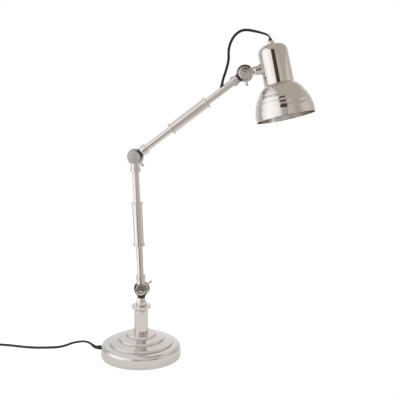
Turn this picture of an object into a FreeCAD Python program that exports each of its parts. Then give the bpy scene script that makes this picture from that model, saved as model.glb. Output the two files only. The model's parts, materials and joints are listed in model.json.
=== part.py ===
"""Tabletop searchlight lamp: stepped round base, two swing arms on clamp knuckles, spun shade.

The frame has its origin under the middle of the base, +Z up. The arms fold in the XZ plane
and the shade hangs towards +X, so every knuckle turns about an axis along Y.
Lengths are in millimetres and angles in degrees.
"""
import FreeCAD, Part
import Sketcher
import math
import os
from types import SimpleNamespace

Vector = FreeCAD.Vector
Placement = FreeCAD.Placement
Rotation = FreeCAD.Rotation

DOC = FreeCAD.newDocument("TabletopSearchlight")
Y_AXIS = Vector(0, 1, 0)
Z_AXIS = Vector(0, 0, 1)
CLEAR = 1  # how far a cut runs past the surface it opens, or a root into what carries it

SIZES = {
    # Stepped base
    "base_radius": 82.5,
    "base_wall_top": 17.0,
    "base_shoulder": 10.0,
    "tread_rise": 3.6,
    "riser_rise": 4.4,
    "tread_lift": 1.0,
    "crown_rise": 1.6,
    "tread_one_width": 16.0,
    "tread_two_width": 18.5,
    "tread_three_width": 17.0,
    "tier_edge": 1.5,
    "cover_wall": 1.5,
    "cover_lift": 0.8,
    "felt_thickness": 1.5,
    "felt_inset": 1.0,
    "plate_thickness": 2.0,
    "weight_thickness": 20.0,
    "weight_gap": 2.0,
    "weight_bevel": 8.0,
    "cord_channel": 12.0,
    # Post and swivel
    "post_radius": 14.75,
    "post_wall": 1.5,
    "post_height": 44.5,
    "collar_radius": 20.0,
    "collar_flare": 5.6,
    "collar_height": 13.0,
    "collar_band": 6.0,
    "collar_spigot": 6.0,
    "collar_ledge": 10.0,
    "chamber_wall": 1.25,
    "rod_radius": 5.0,
    "rod_bore": 3.3,
    "rod_gap": 1.0,
    "rod_headroom": 2.0,
    "nut_thickness": 6.0,
    "nut_corner": 10.0,
    "nut_room": 3.0,
    "nut_headroom": 2.0,
    "plug_thickness": 6.0,
    "stem_height": 33.0,
    "stem_flare": 24.0,
    "stem_flare_height": 10.0,
    "stem_cone_radius": 11.0,
    "spigot_radius": 9.0,
    "spigot_thread_radius": 7.0,
    "swivel_nut_radius": 10.5,
    "swivel_nut_thickness": 4.7,
    "swivel_play": 0.3,
    "thread_spare": 1.0,
    # Fits
    "running_fit": 0.05,
    "side_play": 0.3,
    "edge_break": 0.8,
    "fine_break": 0.4,
    "bead_bevel": 1.2,
    # Knuckles
    "hub_radius": 12.5,
    "hub_front": 9.0,
    "hub_rim_depth": 2.0,
    "hub_rim_width": 0.9,
    "flange_radius": 17.0,
    "flange_thickness": 4.0,
    "boss_radius": 8.0,
    "boss_height": 2.5,
    "cap_gap": 0.5,
    "cap_height": 2.8,
    "cap_round": 1.6,
    "cap_bore": 6.8,
    "bolt_radius": 3.0,
    "bolt_head_radius": 5.2,
    "bolt_head_height": 2.3,
    "bolt_head_bevel": 0.6,
    "bolt_reach": 4.2,
    "eye_radius": 9.0,
    "tongue_thickness": 8.0,
    "tongue_width": 10.0,
    "bush_radius": 8.0,
    "bush_bite": 2.5,
    "neck_radius": 8.9,
    "neck_length": 21.5,
    "neck_bite": 2.0,
    "neck_chamfer": 1.6,
    "neck_root": 8.4,
    # Clamp levers
    "lever_boss_radius": 7.5,
    "lever_boss_height": 6.2,
    "lever_reach": 22.0,
    "lever_root": 3.1,
    "lever_tip": 2.2,
    "lever_ball": 3.1,
    # Arms
    "arm_length": 272.0,
    "tube_radius": 6.8,
    "tube_wall": 1.4,
    "tube_seat": 6.5,
    "eye_tube_seat": 2.0,
    "ferrule_radius": 10.2,
    "ferrule_length": 8.8,
    "sleeve_radius": 10.0,
    "sleeve_length": 90.5,
    "sleeve_ring_radius": 11.8,
    "sleeve_ring_width": 5.0,
    "arm_grommet_gap": 50.5,
    "arm_grommet_radius": 4.2,
    "arm_grommet_taper": 1.0,
    "arm_grommet_top": 4.0,
    "arm_grommet_hole": 3.0,
    "arm_grommet_tilt": 45.0,
    # Resting pose: leans from the vertical, towards +X
    "lower_lean": -3.0,
    "upper_lean": 52.0,
    "neck_lean": 76.8,
    "shade_roll": 6.9,
    "lower_lever_turn": 54.0,
    "elbow_lever_turn": 142.0,
    "head_lever_turn": 168.0,
    # Travel of each knuckle from straight, where the slot in its hub ends
    "lower_back": 40.0,
    "lower_forward": 40.0,
    "elbow_back": 30.0,
    "elbow_forward": 85.0,
    "head_back": 60.0,
    "head_forward": 75.0,
    # Head: neck, shade and lampholder
    "neck_reach": 60.3,
    "head_neck_waist": 7.8,
    "waist_from": 8.0,
    "waist_to": 14.0,
    "waist_curve": 24.0,
    "saddle_radius": 10.8,
    "saddle_from": 28.5,
    "neck_thread_radius": 5.0,
    "neck_thread_end": 38.0,
    "neck_nut_corner": 8.6,
    "shade_wall": 1.0,
    "shade_top": 42.6,
    "shade_flat": 7.5,
    "cap_radius": 29.0,
    "cap_shoulder": 14.5,
    "shoulder_curve": 16.0,
    "crown_width": 6.0,
    "crown_drop": 1.0,
    "crease_drop": 35.0,
    "bell_step_one": 56.7,
    "bell_step_two": 67.7,
    "bell_step_three": 78.7,
    "bell_one_radius": 46.3,
    "bell_two_radius": 51.7,
    "bell_three_radius": 54.9,
    "bell_step": 0.9,
    "bell_curve": 42.0,
    "mouth_curve": 150.0,
    "rim_radius": 57.5,
    "rim_drop": 100.2,
    "gland_radius": 6.8,
    "gland_height": 7.6,
    "gland_barrel": 4.6,
    "gland_dome": 5.0,
    "gland_lip": 0.6,
    "gland_nipple": 9.6,
    "gland_bush_radius": 4.0,
    "gland_bush_height": 4.4,
    "holder_radius": 18.5,
    "holder_shoulder": 8.0,
    "holder_bevel": 2.0,
    "holder_land": 1.0,
    "holder_skirt": 6.0,
    "holder_ring_radius": 20.0,
    "holder_ring_height": 9.0,
    "socket_radius": 13.5,
    "socket_depth": 22.0,
    "bulb_cap_radius": 13.2,
    "bulb_cap_drop": 9.0,
    "contact_radius": 3.0,
    "contact_height": 2.0,
    "bulb_cap_cone": 4.0,
    "bulb_radius": 28.0,
    "bulb_length": 77.0,
    "glass_neck": 6.0,
    "glass_curve": 70.0,
    "glass_wall": 0.8,
    # Cords and what is on them
    "cord_radius": 2.5,
    "loop_cord_radius": 2.2,
    "cord_exit_height": 14.0,
    "cord_exit_turn": 184.0,
    "base_grommet_radius": 5.5,
    "base_grommet_neck": 4.0,
    "base_grommet_length": 4.5,
    "grommet_lip": 0.6,
    "coil_outer": 33.0,
    "coil_inner": 18.5,
    "coil_height": 14.5,
    "coil_edge": 2.0,
    "switch_length": 62.0,
    "switch_width": 27.0,
    "switch_height": 20.0,
    "switch_round": 3.0,
    "switch_taper": 12.0,
    "switch_nose": 6.1,
    "rocker_length": 20.0,
    "rocker_width": 11.0,
    "rocker_depth": 7.0,
    "rocker_gap": 0.6,
    "rocker_rise": 2.2,
    "rocker_pivot": 3.0,
    "rocker_dip": 2.6,
    "rocker_shoulder": 1.0,
    "keel_half": 3.0,
    "keel_curve": 3.6,
    "rocker_throw": 14.0,
    "plug_width": 35.0,
    "plug_height": 14.0,
    "plug_length": 24.0,
    "plug_tail": 14.0,
    "plug_sides": 10.8,
    "plug_nose": 7.9,
    "plug_round": 2.8,
    "plug_tail_radius": 5.6,
    "plug_tail_bite": 2.0,
    "pin_radius": 2.0,
    "pin_length": 19.0,
    "pin_spacing": 18.6,
}


class Size:
    """A dimension that knows both its number and its formula in the sheet."""

    def __init__(self, number, formula):
        self.number = number
        self.formula = formula

    def joined(self, sign, other, number):
        return Size(number, "(%s %s %s)" % (self.formula, sign, as_size(other).formula))

    def __add__(self, other):
        return self.joined("+", other, self.number + as_size(other).number)

    def __sub__(self, other):
        return self.joined("-", other, self.number - as_size(other).number)

    def __mul__(self, other):
        return self.joined("*", other, self.number * as_size(other).number)

    def __truediv__(self, other):
        return self.joined("/", other, self.number / as_size(other).number)

    def __neg__(self):
        return as_size(0) - self

    def __float__(self):
        return self.number


def as_size(value):
    """Wrap a plain number so that it can stand in a formula."""
    if isinstance(value, Size):
        return value
    return Size(float(value), "%g" % value)


def fill_sheet():
    """Write the driving dimensions into a spreadsheet and return them by name."""
    sheet = DOC.addObject("Spreadsheet::Sheet", "Sizes")
    for row, (name, number) in enumerate(SIZES.items(), start=1):
        sheet.set("A%d" % row, name)
        sheet.set("B%d" % row, "%g" % number)
        sheet.setAlias("B%d" % row, name)
    DOC.recompute()
    found = {name: Size(float(sheet.get(name)), "Sizes." + name) for name in SIZES}
    return SimpleNamespace(**found)


D = fill_sheet()


# ---------------------------------------------------------------- sketch and feature helpers

def bind(thing, path, size):
    """Tie one property of an object to a formula in the sheet."""
    thing.setExpression(path, as_size(size).formula)


def new_body(label):
    body = DOC.addObject("PartDesign::Body", label)
    body.Label = label
    return body


def new_sketch(body, role):
    """An empty sketch on one of the body's own origin planes."""
    sketch = body.newObject("Sketcher::SketchObject", body.Name + "_sketch")
    plane = [item for item in body.Origin.OriginFeatures if item.Role == role][0]
    sketch.AttachmentSupport = [(plane, "")]
    sketch.MapMode = "FlatFace"
    return sketch


def place_point(sketch, geometry, end, across, up):
    """Hold one point of a sketch at a place that the sheet gives."""
    for kind, value in (("DistanceX", across), ("DistanceY", up)):
        size = as_size(value)
        number = sketch.addConstraint(Sketcher.Constraint(kind, -1, 1, geometry, end, size.number))
        bind(sketch, "Constraints[%d]" % number, size)


def arc_between(start, stop, radius, side):
    """The short arc from start to stop whose centre lies left (+1) or right (-1) of the way."""
    chord = stop - start
    half = chord.Length / 2
    left = Vector(-chord.y, chord.x, 0).normalize()
    centre = (start + stop) / 2 + left * side * math.sqrt(radius * radius - half * half)
    first, last = (start, stop) if side > 0 else (stop, start)
    angles = [math.atan2(end.y - centre.y, end.x - centre.x) for end in (first, last)]
    return Part.ArcOfCircle(Part.Circle(centre, Z_AXIS, radius), angles[0], angles[1])


def draw_outline(sketch, corners):
    """Draw a closed outline. A corner is (across, up) or (across, up, radius, side),
    where radius and side shape the edge that leaves it into an arc."""
    places = [Vector(float(as_size(c[0])), float(as_size(c[1])), 0) for c in corners]
    edges = []
    for index, corner in enumerate(corners):
        start = places[index]
        stop = places[(index + 1) % len(places)]
        if len(corner) > 2:
            curve = arc_between(start, stop, float(as_size(corner[2])), corner[3])
            ends = (1, 2) if corner[3] > 0 else (2, 1)
        else:
            curve = Part.LineSegment(start, stop)
            ends = (1, 2)
        edges.append((sketch.addGeometry(curve, False), ends))
    for index, corner in enumerate(corners):
        geometry, ends = edges[index]
        before, before_ends = edges[index - 1]
        sketch.addConstraint(
            Sketcher.Constraint("Coincident", before, before_ends[1], geometry, ends[0]))
        place_point(sketch, geometry, ends[0], corner[0], corner[1])
        if len(corner) > 2:
            radius = as_size(corner[2])
            number = sketch.addConstraint(Sketcher.Constraint("Radius", geometry, radius.number))
            bind(sketch, "Constraints[%d]" % number, radius)


def draw_circle(sketch, across, up, radius):
    size = as_size(radius)
    centre = Vector(float(as_size(across)), float(as_size(up)), 0)
    geometry = sketch.addGeometry(Part.Circle(centre, Z_AXIS, size.number), False)
    place_point(sketch, geometry, 3, across, up)
    number = sketch.addConstraint(Sketcher.Constraint("Radius", geometry, size.number))
    bind(sketch, "Constraints[%d]" % number, size)


def turn(body, kind, role, corners):
    """Add ("Revolution") or cut ("Groove") a full turn of an outline about the sketch's upright."""
    sketch = new_sketch(body, role)
    draw_outline(sketch, corners)
    feature = body.newObject("PartDesign::" + kind, body.Name + "_turn")
    feature.Profile = sketch
    feature.ReferenceAxis = (sketch, ["V_Axis"])
    feature.Angle = 360
    body.Tip = feature
    return feature


def extrude(body, kind, role, draw, length, symmetric=True):
    """Add ("Pad") or cut ("Pocket") along the normal of an origin plane."""
    sketch = new_sketch(body, role)
    draw(sketch)
    feature = body.newObject("PartDesign::" + kind, body.Name + "_extrude")
    feature.Profile = sketch
    feature.SideType = "Symmetric" if symmetric else "One side"
    bind(feature, "Length", length)
    body.Tip = feature
    return feature


def turned(label, corners, place=None):
    """A sub-part turned about its own Z axis from (radius, height) corners."""
    body = new_body(label)
    turn(body, "Revolution", "XZ_Plane", corners)
    body.Placement = place or Placement()
    return body


def back_with_wall(outline, wall):
    """The inner side of a sheet whose outer side runs inwards and upwards along an outline.

    A rounded edge no larger than the wall is a straight bevel on the inside."""
    inner = []
    for index in range(len(outline) - 1, -1, -1):
        corner = outline[index]
        arc = outline[index - 1][2:] if index > 0 else ()
        bent = arc and float(arc[0]) > float(wall)
        arc = (arc[0], -arc[1]) if bent else ()
        inner.append((as_size(corner[0]) - wall, as_size(corner[1]) - wall) + arc)
    return inner


def cylinder(radius, length, place=None):
    shape = DOC.addObject("Part::Cylinder", "cylinder")
    bind(shape, "Radius", radius)
    bind(shape, "Height", length)
    shape.Placement = place or Placement()
    return shape


def cone(root, tip, length, place):
    shape = DOC.addObject("Part::Cone", "cone")
    bind(shape, "Radius1", root)
    bind(shape, "Radius2", tip)
    bind(shape, "Height", length)
    shape.Placement = place
    return shape


def ball(radius, place):
    shape = DOC.addObject("Part::Sphere", "ball")
    bind(shape, "Radius", radius)
    shape.Placement = place
    return shape


def block(across, deep, high, centre):
    """A box around a centre point."""
    shape = DOC.addObject("Part::Box", "block")
    bind(shape, "Length", across)
    bind(shape, "Width", deep)
    bind(shape, "Height", high)
    half = Vector(float(as_size(across)), float(as_size(deep)), float(as_size(high))) / 2
    shape.Placement = Placement(centre - half, Rotation())
    return shape


def hexagon(corner, length, place):
    shape = DOC.addObject("Part::Prism", "hexagon")
    shape.Polygon = 6
    bind(shape, "Circumradius", corner)
    bind(shape, "Height", length)
    shape.Placement = place
    return shape


def cut(base, tool):
    shape = DOC.addObject("Part::Cut", "cut")
    shape.Base = base
    shape.Tool = tool
    return shape


def fuse(*shapes):
    shape = DOC.addObject("Part::MultiFuse", "fuse")
    shape.Shapes = list(shapes)
    return shape


def named(shape, label, place=None):
    shape.Label = label
    if place is not None:
        shape.Placement = place
    return shape


def at(x=0.0, y=0.0, z=0.0):
    return Placement(Vector(float(x), float(y), float(z)), Rotation())


def lean(point, degrees):
    """A frame at a point whose Z axis leans from the vertical towards +X."""
    return Placement(point, Rotation(Y_AXIS, float(degrees)))


ALONG_Y = Placement(Vector(), Rotation(Vector(1, 0, 0), -90))
ALONG_X = Placement(Vector(), Rotation(Y_AXIS, 90))


# ---------------------------------------------------------------- frames of the resting pose

TREAD_ONE = D.base_wall_top + D.base_shoulder
TIER_ONE = TREAD_ONE + D.tread_lift
TIER_TWO = TIER_ONE + D.riser_rise + D.tread_rise
TIER_THREE = TIER_TWO + D.riser_rise + D.tread_rise
COVER_TOP = TIER_THREE + D.riser_rise + D.crown_rise
POST_TOP = COVER_TOP + D.post_height
COLLAR_TOP = POST_TOP + D.collar_height
PIVOT_HEIGHT = COLLAR_TOP + D.stem_height

LOWER_PIVOT = Vector(0, 0, PIVOT_HEIGHT.number)
LOWER = lean(LOWER_PIVOT, D.lower_lean)
ELBOW_PIVOT = LOWER.multVec(Vector(0, 0, D.arm_length.number))
UPPER = lean(ELBOW_PIVOT, D.upper_lean)
HEAD_PIVOT = UPPER.multVec(Vector(0, 0, D.arm_length.number))
HEAD = lean(HEAD_PIVOT, D.neck_lean)
SHADE_MIDDLE = HEAD.multVec(Vector(0, 0, D.neck_reach.number))
SHADE = (lean(SHADE_MIDDLE, D.neck_lean.number - 90)
         * Placement(Vector(), Rotation(Vector(1, 0, 0), -D.shade_roll.number)))


# ---------------------------------------------------------------- stepped base

def make_base_cover():
    """Thin spun cover: an upright wall, a round shoulder and three stepped tiers."""
    outer = [(D.base_radius, D.base_wall_top, D.base_shoulder, 1),
             (D.base_radius - D.base_shoulder, TREAD_ONE)]
    radius = D.base_radius
    for width, foot in ((D.tread_one_width, TIER_ONE),
                        (D.tread_two_width, TIER_TWO),
                        (D.tread_three_width, TIER_THREE)):
        radius = radius - width
        top = foot + D.riser_rise
        outer += [(radius, foot),
                  (radius, top - D.tier_edge, D.tier_edge, 1),
                  (radius - D.tier_edge, top)]
    inner = back_with_wall(outer, D.cover_wall)
    hole = D.rod_radius
    corners = [(D.base_radius, D.cover_lift)] + outer
    corners += [(D.post_radius, COVER_TOP), (hole, COVER_TOP), (hole, COVER_TOP - D.cover_wall)]
    corners += [(D.post_radius - D.cover_wall, COVER_TOP - D.cover_wall)] + inner
    corners += [(D.base_radius - D.cover_wall, D.cover_lift)]
    shell = turned("cover_shell", corners)
    exit_hole = cylinder(D.base_grommet_neck, D.cover_wall * 4,
                         cord_exit_frame(D.base_radius - D.cover_wall * 2))
    named(cut(shell, exit_hole), "base_cover")


def cord_exit_frame(radius):
    """A frame whose Z axis points out of the base where the cord leaves it."""
    turn_to = Placement(Vector(), Rotation(Z_AXIS, D.cord_exit_turn.number))
    return turn_to * at(radius, 0, D.cord_exit_height) * ALONG_X


def make_base_weight():
    """Cast disc under the cover, recessed for the nut, with a channel for the cord."""
    bottom = D.felt_thickness + D.plate_thickness
    radius = D.base_radius - D.cover_wall - D.weight_gap
    recess = bottom + D.nut_thickness + D.nut_headroom
    room = D.nut_corner + D.nut_room
    top = bottom + D.weight_thickness
    bore = D.rod_radius
    disc = turned("weight_disc", [
        (room, bottom), (radius, bottom), (radius, top - D.weight_bevel),
        (radius - D.weight_bevel, top), (bore, top), (bore, recess), (room, recess)])
    channel = block(radius, D.cord_channel, D.cord_channel * 2,
                    Vector(-(radius / 2 + room).number, 0, top.number))
    turn_to = Rotation(Z_AXIS, D.cord_exit_turn.number - 180)
    channel.Placement = Placement(Vector(), turn_to) * channel.Placement
    named(cut(disc, channel), "base_weight")


def make_base():
    make_base_cover()
    make_base_weight()
    inside = D.base_radius - D.cover_wall
    bottom = D.felt_thickness + D.plate_thickness
    edge = inside - D.felt_inset
    turned("felt_pad", [(0, 0), (edge, 0), (edge, D.felt_thickness), (0, D.felt_thickness)])
    turned("base_plate", [(0, D.felt_thickness), (inside, D.felt_thickness),
                          (inside, bottom), (0, bottom)])
    place = at(z=bottom + D.nut_headroom)
    nut = cut(hexagon(D.nut_corner, D.nut_thickness, place),
              cylinder(D.rod_radius, D.nut_thickness, place))
    named(nut, "base_nut")
    wall = D.base_grommet_neck
    flange = D.base_grommet_radius
    top = D.base_grommet_length + D.cover_wall
    turned("base_grommet", [
        (0, 0), (wall, 0), (wall, D.cover_wall * 1.5), (flange, D.base_grommet_length),
        (flange - D.grommet_lip, top), (0, top)],
        cord_exit_frame(D.base_radius - D.cover_wall))


# ---------------------------------------------------------------- post and swivel

def make_post():
    inside = D.post_radius - D.post_wall
    turned("post_tube", [(inside, COVER_TOP), (D.post_radius, COVER_TOP),
                         (D.post_radius, POST_TOP), (inside, POST_TOP)])
    rod_top = POST_TOP - D.collar_spigot - D.rod_headroom
    rod_foot = D.felt_thickness + D.plate_thickness + D.rod_gap
    turned("tie_rod", [(D.rod_bore, rod_foot), (D.rod_radius, rod_foot),
                       (D.rod_radius, rod_top), (D.rod_bore, rod_top)])
    turned("post_plug", [(D.rod_radius, rod_top - D.plug_thickness),
                         (inside, rod_top - D.plug_thickness),
                         (inside, rod_top), (D.rod_radius, rod_top)])
    bore = D.spigot_radius + D.running_fit
    band = COLLAR_TOP - D.collar_band
    chamber = inside - D.chamber_wall
    edge = D.bead_bevel
    turned("post_collar", [
        (bore, COLLAR_TOP), (D.collar_radius - edge, COLLAR_TOP),
        (D.collar_radius, COLLAR_TOP - edge), (D.collar_radius, band, D.collar_flare, 1),
        (D.post_radius, POST_TOP), (inside, POST_TOP), (inside, POST_TOP - D.collar_spigot),
        (chamber, POST_TOP - D.collar_spigot), (chamber, COLLAR_TOP - D.collar_ledge),
        (bore, COLLAR_TOP - D.collar_ledge)])


def make_stem():
    """The lowest eye, on a cone that turns on the collar."""
    ledge = D.stem_height + D.collar_ledge + D.swivel_play
    thread_end = ledge + D.swivel_nut_thickness + D.thread_spare
    start = D.flange_radius + D.side_play
    place = lean(LOWER_PIVOT, 180)
    make_eye("stem", place, [
        (0, start), (D.neck_root, start, D.stem_flare, -1),
        (D.stem_cone_radius, start + D.stem_flare_height),
        (D.stem_cone_radius, D.stem_height), (D.spigot_radius, D.stem_height),
        (D.spigot_radius, ledge), (D.spigot_thread_radius, ledge),
        (D.spigot_thread_radius, thread_end), (0, thread_end)])
    make_bush("stem_bush", place)
    nut_end = ledge + D.swivel_nut_thickness
    turned("swivel_nut", [(D.spigot_thread_radius, ledge), (D.swivel_nut_radius, ledge),
                          (D.swivel_nut_radius, nut_end), (D.spigot_thread_radius, nut_end)], place)


# ---------------------------------------------------------------- knuckles

SLOT = D.tongue_thickness + D.side_play * 2
SLOT_BACK = SLOT / 2
FLANGE_BACK = SLOT_BACK + D.flange_thickness
BOSS_BACK = FLANGE_BACK + D.boss_height
CAP_SEAT = D.hub_front - D.hub_rim_depth


def window_corner(degrees, side, radius):
    """Where the slot's end, set off from the tongue's middle line, meets a radius.

    The tongue points along -Z at 0 degrees and towards -X at 90; side says on which
    side of the tongue the slot's end stands."""
    half = D.tongue_width.number / 2 + D.side_play.number
    angle = math.radians(degrees) + side * math.asin(half / radius)
    return -radius * math.sin(angle), -radius * math.cos(angle)


def make_knuckle(label, place, neck, back, forward):
    """Clamp knuckle: hub and flange turned about Y, a neck along Z, and a slot in the
    hub's side through which the tongue of the next piece swings."""
    body = new_body(label)
    rim = D.hub_radius - D.hub_rim_width
    fine = D.fine_break
    edge = D.edge_break
    turn(body, "Revolution", "XY_Plane", [
        (0, -D.hub_front), (D.hub_radius - fine, -D.hub_front), (D.hub_radius, fine - D.hub_front),
        (D.hub_radius, SLOT_BACK), (D.flange_radius - edge, SLOT_BACK),
        (D.flange_radius, SLOT_BACK + edge), (D.flange_radius, FLANGE_BACK - edge),
        (D.flange_radius - edge, FLANGE_BACK), (D.boss_radius, FLANGE_BACK),
        (D.boss_radius, BOSS_BACK), (0, BOSS_BACK)])
    turn(body, "Revolution", "XZ_Plane", neck)
    slot_radius = D.eye_radius + D.side_play
    extrude(body, "Pocket", "XZ_Plane",
            lambda sketch: draw_circle(sketch, 0, 0, slot_radius), SLOT)
    near = slot_radius.number - CLEAR
    far = D.hub_radius.number + CLEAR

    def window(sketch):
        ends = [(-forward, -1, near), (-forward, -1, far), (back, 1, far), (back, 1, near)]
        places = [Vector(*window_corner(*end), 0) for end in ends]
        middle = Vector(*window_corner((back - forward) / 2, 0.0, far), 0)
        inner = Vector(*window_corner((back - forward) / 2, 0.0, near), 0)
        sketch.addGeometry(Part.LineSegment(places[0], places[1]), False)
        sketch.addGeometry(Part.Arc(places[1], middle, places[2]), False)
        sketch.addGeometry(Part.LineSegment(places[2], places[3]), False)
        sketch.addGeometry(Part.Arc(places[3], inner, places[0]), False)

    extrude(body, "Pocket", "XZ_Plane", window, SLOT)
    turn(body, "Groove", "XY_Plane", [
        (0, -D.hub_front - CLEAR), (rim, -D.hub_front - CLEAR), (rim, -CAP_SEAT),
        (D.bolt_radius, -CAP_SEAT), (D.bolt_radius, BOSS_BACK + CLEAR), (0, BOSS_BACK + CLEAR)])
    body.Placement = place
    return body


def cut_socket(body, seat):
    """Bore the mouth of a neck so that the arm's tube seats in it."""
    floor = D.neck_length - seat
    mouth = D.neck_length + CLEAR
    turn(body, "Groove", "XZ_Plane", [(0, floor), (D.tube_radius, floor),
                                      (D.tube_radius, mouth), (0, mouth)])


def make_eye(label, place, neck):
    """Flat tongue with a round eye for the pivot bolt, on a turned neck along Z."""
    body = new_body(label)
    extrude(body, "Pad", "XZ_Plane",
            lambda sketch: draw_circle(sketch, 0, 0, D.eye_radius), D.tongue_thickness)
    half = D.tongue_width / 2
    reach = D.flange_radius + D.side_play + CLEAR
    corners = [(-half, 0), (half, 0), (half, reach), (-half, reach)]
    extrude(body, "Pad", "XZ_Plane",
            lambda sketch: draw_outline(sketch, corners), D.tongue_thickness)
    turn(body, "Revolution", "XZ_Plane", neck)
    bore = D.bolt_radius + D.running_fit
    extrude(body, "Pocket", "XZ_Plane",
            lambda sketch: draw_circle(sketch, 0, 0, bore), D.tongue_thickness * 2)
    body.Placement = place
    return body


def make_bush(label, place):
    """Black washer round the tongue, hollowed to follow the hub and flat at the flange."""
    start = D.hub_radius - D.bush_bite
    length = D.flange_radius + D.side_play - start
    blank = cylinder(D.bush_radius, length, at(z=start))
    wide = (D.bush_radius + CLEAR) * 2
    hub = cylinder(D.hub_radius + D.side_play, wide, at(y=-wide.number / 2) * ALONG_Y)
    hollowed = cut(blank, hub)
    tongue = cut(hollowed, block(D.tongue_width, D.tongue_thickness, length * 3,
                                 Vector(0, 0, start.number)))
    depth = D.bush_radius
    back = Vector(0, (D.tongue_thickness.number + depth.number) / 2, start.number)
    named(cut(tongue, block(wide, depth, length * 3, back)), label, place)


def make_pivot(name, place):
    """Pivot bolt through the hub, and the domed ring that covers the hub's front."""
    head = CAP_SEAT + D.bolt_head_height
    edge = D.bolt_head_bevel
    bolt = new_body(name + "_pivot_bolt")
    turn(bolt, "Revolution", "XY_Plane", [
        (0, -head), (D.bolt_head_radius - edge, -head), (D.bolt_head_radius, edge - head),
        (D.bolt_head_radius, -CAP_SEAT), (D.bolt_radius, -CAP_SEAT),
        (D.bolt_radius, BOSS_BACK + D.bolt_reach), (0, BOSS_BACK + D.bolt_reach)])
    bolt.Placement = place
    radius = D.hub_radius - D.hub_rim_width - D.cap_gap
    front = CAP_SEAT + D.cap_height
    fine = D.fine_break
    cap = new_body(name + "_hub_cap")
    turn(cap, "Revolution", "XY_Plane", [
        (D.cap_bore, -CAP_SEAT), (D.cap_bore, fine - front), (D.cap_bore + fine, -front),
        (radius - D.cap_round, -front, D.cap_round, 1), (radius, D.cap_round - front),
        (radius, -CAP_SEAT)])
    cap.Placement = place


def make_lever(label, pivot, turn_to):
    """Clamp lever behind a knuckle: a boss on the bolt's end and one arm with a ball."""
    middle = BOSS_BACK + D.lever_boss_height / 2
    boss = cylinder(D.lever_boss_radius, D.lever_boss_height, at(y=BOSS_BACK) * ALONG_Y)
    arm = cone(D.lever_root, D.lever_tip, D.lever_reach, at(y=middle))
    end = ball(D.lever_ball, at(y=middle, z=D.lever_reach))
    bore = cylinder(D.bolt_radius + D.running_fit, D.bolt_reach + D.side_play,
                    at(y=BOSS_BACK) * ALONG_Y)
    named(cut(fuse(boss, arm, end), bore), label, lean(pivot, turn_to))


# ---------------------------------------------------------------- arms

def arm_neck(root):
    """The outline of a neck that starts at a distance from the pivot."""
    return [(0, root), (D.neck_root, root), (D.neck_radius, root + D.neck_chamfer),
            (D.neck_radius, D.neck_length), (0, D.neck_length)]


def make_arm_rod(name, place, seat):
    """Tube with a ferrule at each end and a thicker sleeve between two rings."""
    inside = D.tube_radius - D.tube_wall
    broken = D.edge_break
    start = D.neck_length - seat
    stop = D.arm_length - start
    tube = turned(name + "_tube", [(inside, start), (D.tube_radius, start),
                                   (D.tube_radius, stop), (inside, stop)], place)
    for end, foot in (("foot", D.neck_length),
                      ("head", D.arm_length - D.neck_length - D.ferrule_length)):
        top = foot + D.ferrule_length
        turned("%s_%s_ferrule" % (name, end), [
            (D.tube_radius, foot), (D.ferrule_radius - broken, foot),
            (D.ferrule_radius, foot + broken), (D.ferrule_radius, top - broken),
            (D.ferrule_radius - broken, top), (D.tube_radius, top)], place)
    ring = D.sleeve_ring_width
    edge = D.sleeve_ring_radius
    bead = D.bead_bevel
    low = (D.arm_length - D.sleeve_length) / 2
    high = low + D.sleeve_length
    for end, foot in (("lower", low), ("upper", high - ring)):
        turned("%s_%s_ring" % (name, end), [
            (D.tube_radius, foot), (edge - bead, foot), (edge, foot + bead),
            (edge, foot + ring - bead), (edge - bead, foot + ring),
            (D.tube_radius, foot + ring)], place)
    turned(name + "_sleeve", [(D.tube_radius, low + ring), (D.sleeve_radius, low + ring),
                              (D.sleeve_radius, high - ring), (D.tube_radius, high - ring)], place)
    return tube


def make_lower_arm():
    neck = arm_neck(D.eye_radius - D.neck_bite)
    elbow = lean(ELBOW_PIVOT, D.lower_lean.number + 180)
    for name, place, back, forward in (
            ("lower", LOWER, D.lower_back, D.lower_forward),
            ("elbow", elbow, D.elbow_forward, D.elbow_back)):
        knuckle = make_knuckle(name + "_knuckle", place, neck, back.number, forward.number)
        cut_socket(knuckle, D.tube_seat)
        make_pivot(name, place)
    make_arm_rod("lower_arm", LOWER, D.tube_seat)


def make_upper_arm():
    neck = arm_neck(D.flange_radius + D.side_play)
    far_end = lean(HEAD_PIVOT, D.upper_lean.number + 180)
    for name, place in (("elbow", UPPER), ("head", far_end)):
        cut_socket(make_eye(name + "_eye", place, neck), D.eye_tube_seat)
        make_bush(name + "_bush", place)
    tube = make_arm_rod("upper_arm", UPPER, D.eye_tube_seat)
    extrude(tube, "Pocket", "YZ_Plane",
            lambda sketch: draw_circle(sketch, 0, ARM_GROMMET_AT, D.arm_grommet_hole),
            D.tube_radius * 2, symmetric=False)
    make_arm_grommet()


ARM_GROMMET_AT = D.arm_length - D.arm_grommet_gap


def arm_grommet_frame():
    """On the arm's upper side, with Z leaning out of it towards the head."""
    tilt = -90 + D.arm_grommet_tilt.number
    side = at(x=-D.tube_radius, z=ARM_GROMMET_AT)
    return UPPER * side * Placement(Vector(), Rotation(Y_AXIS, tilt))


def make_arm_grommet():
    """Rubber boot on the hole where the head's cord enters the upper arm."""
    sunk = UPPER.inverse() * arm_grommet_frame() * at(z=-D.arm_grommet_top)
    boot = cone(D.arm_grommet_radius, D.arm_grommet_radius - D.arm_grommet_taper,
                D.arm_grommet_top * 2, sunk)
    outside = cut(boot, cylinder(D.tube_radius, D.arm_length))
    plug = cylinder(D.arm_grommet_hole, D.tube_wall * 1.5,
                    at(x=-D.tube_radius, z=ARM_GROMMET_AT) * ALONG_X)
    named(fuse(outside, plug), "arm_grommet", UPPER)


# ---------------------------------------------------------------- head

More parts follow.
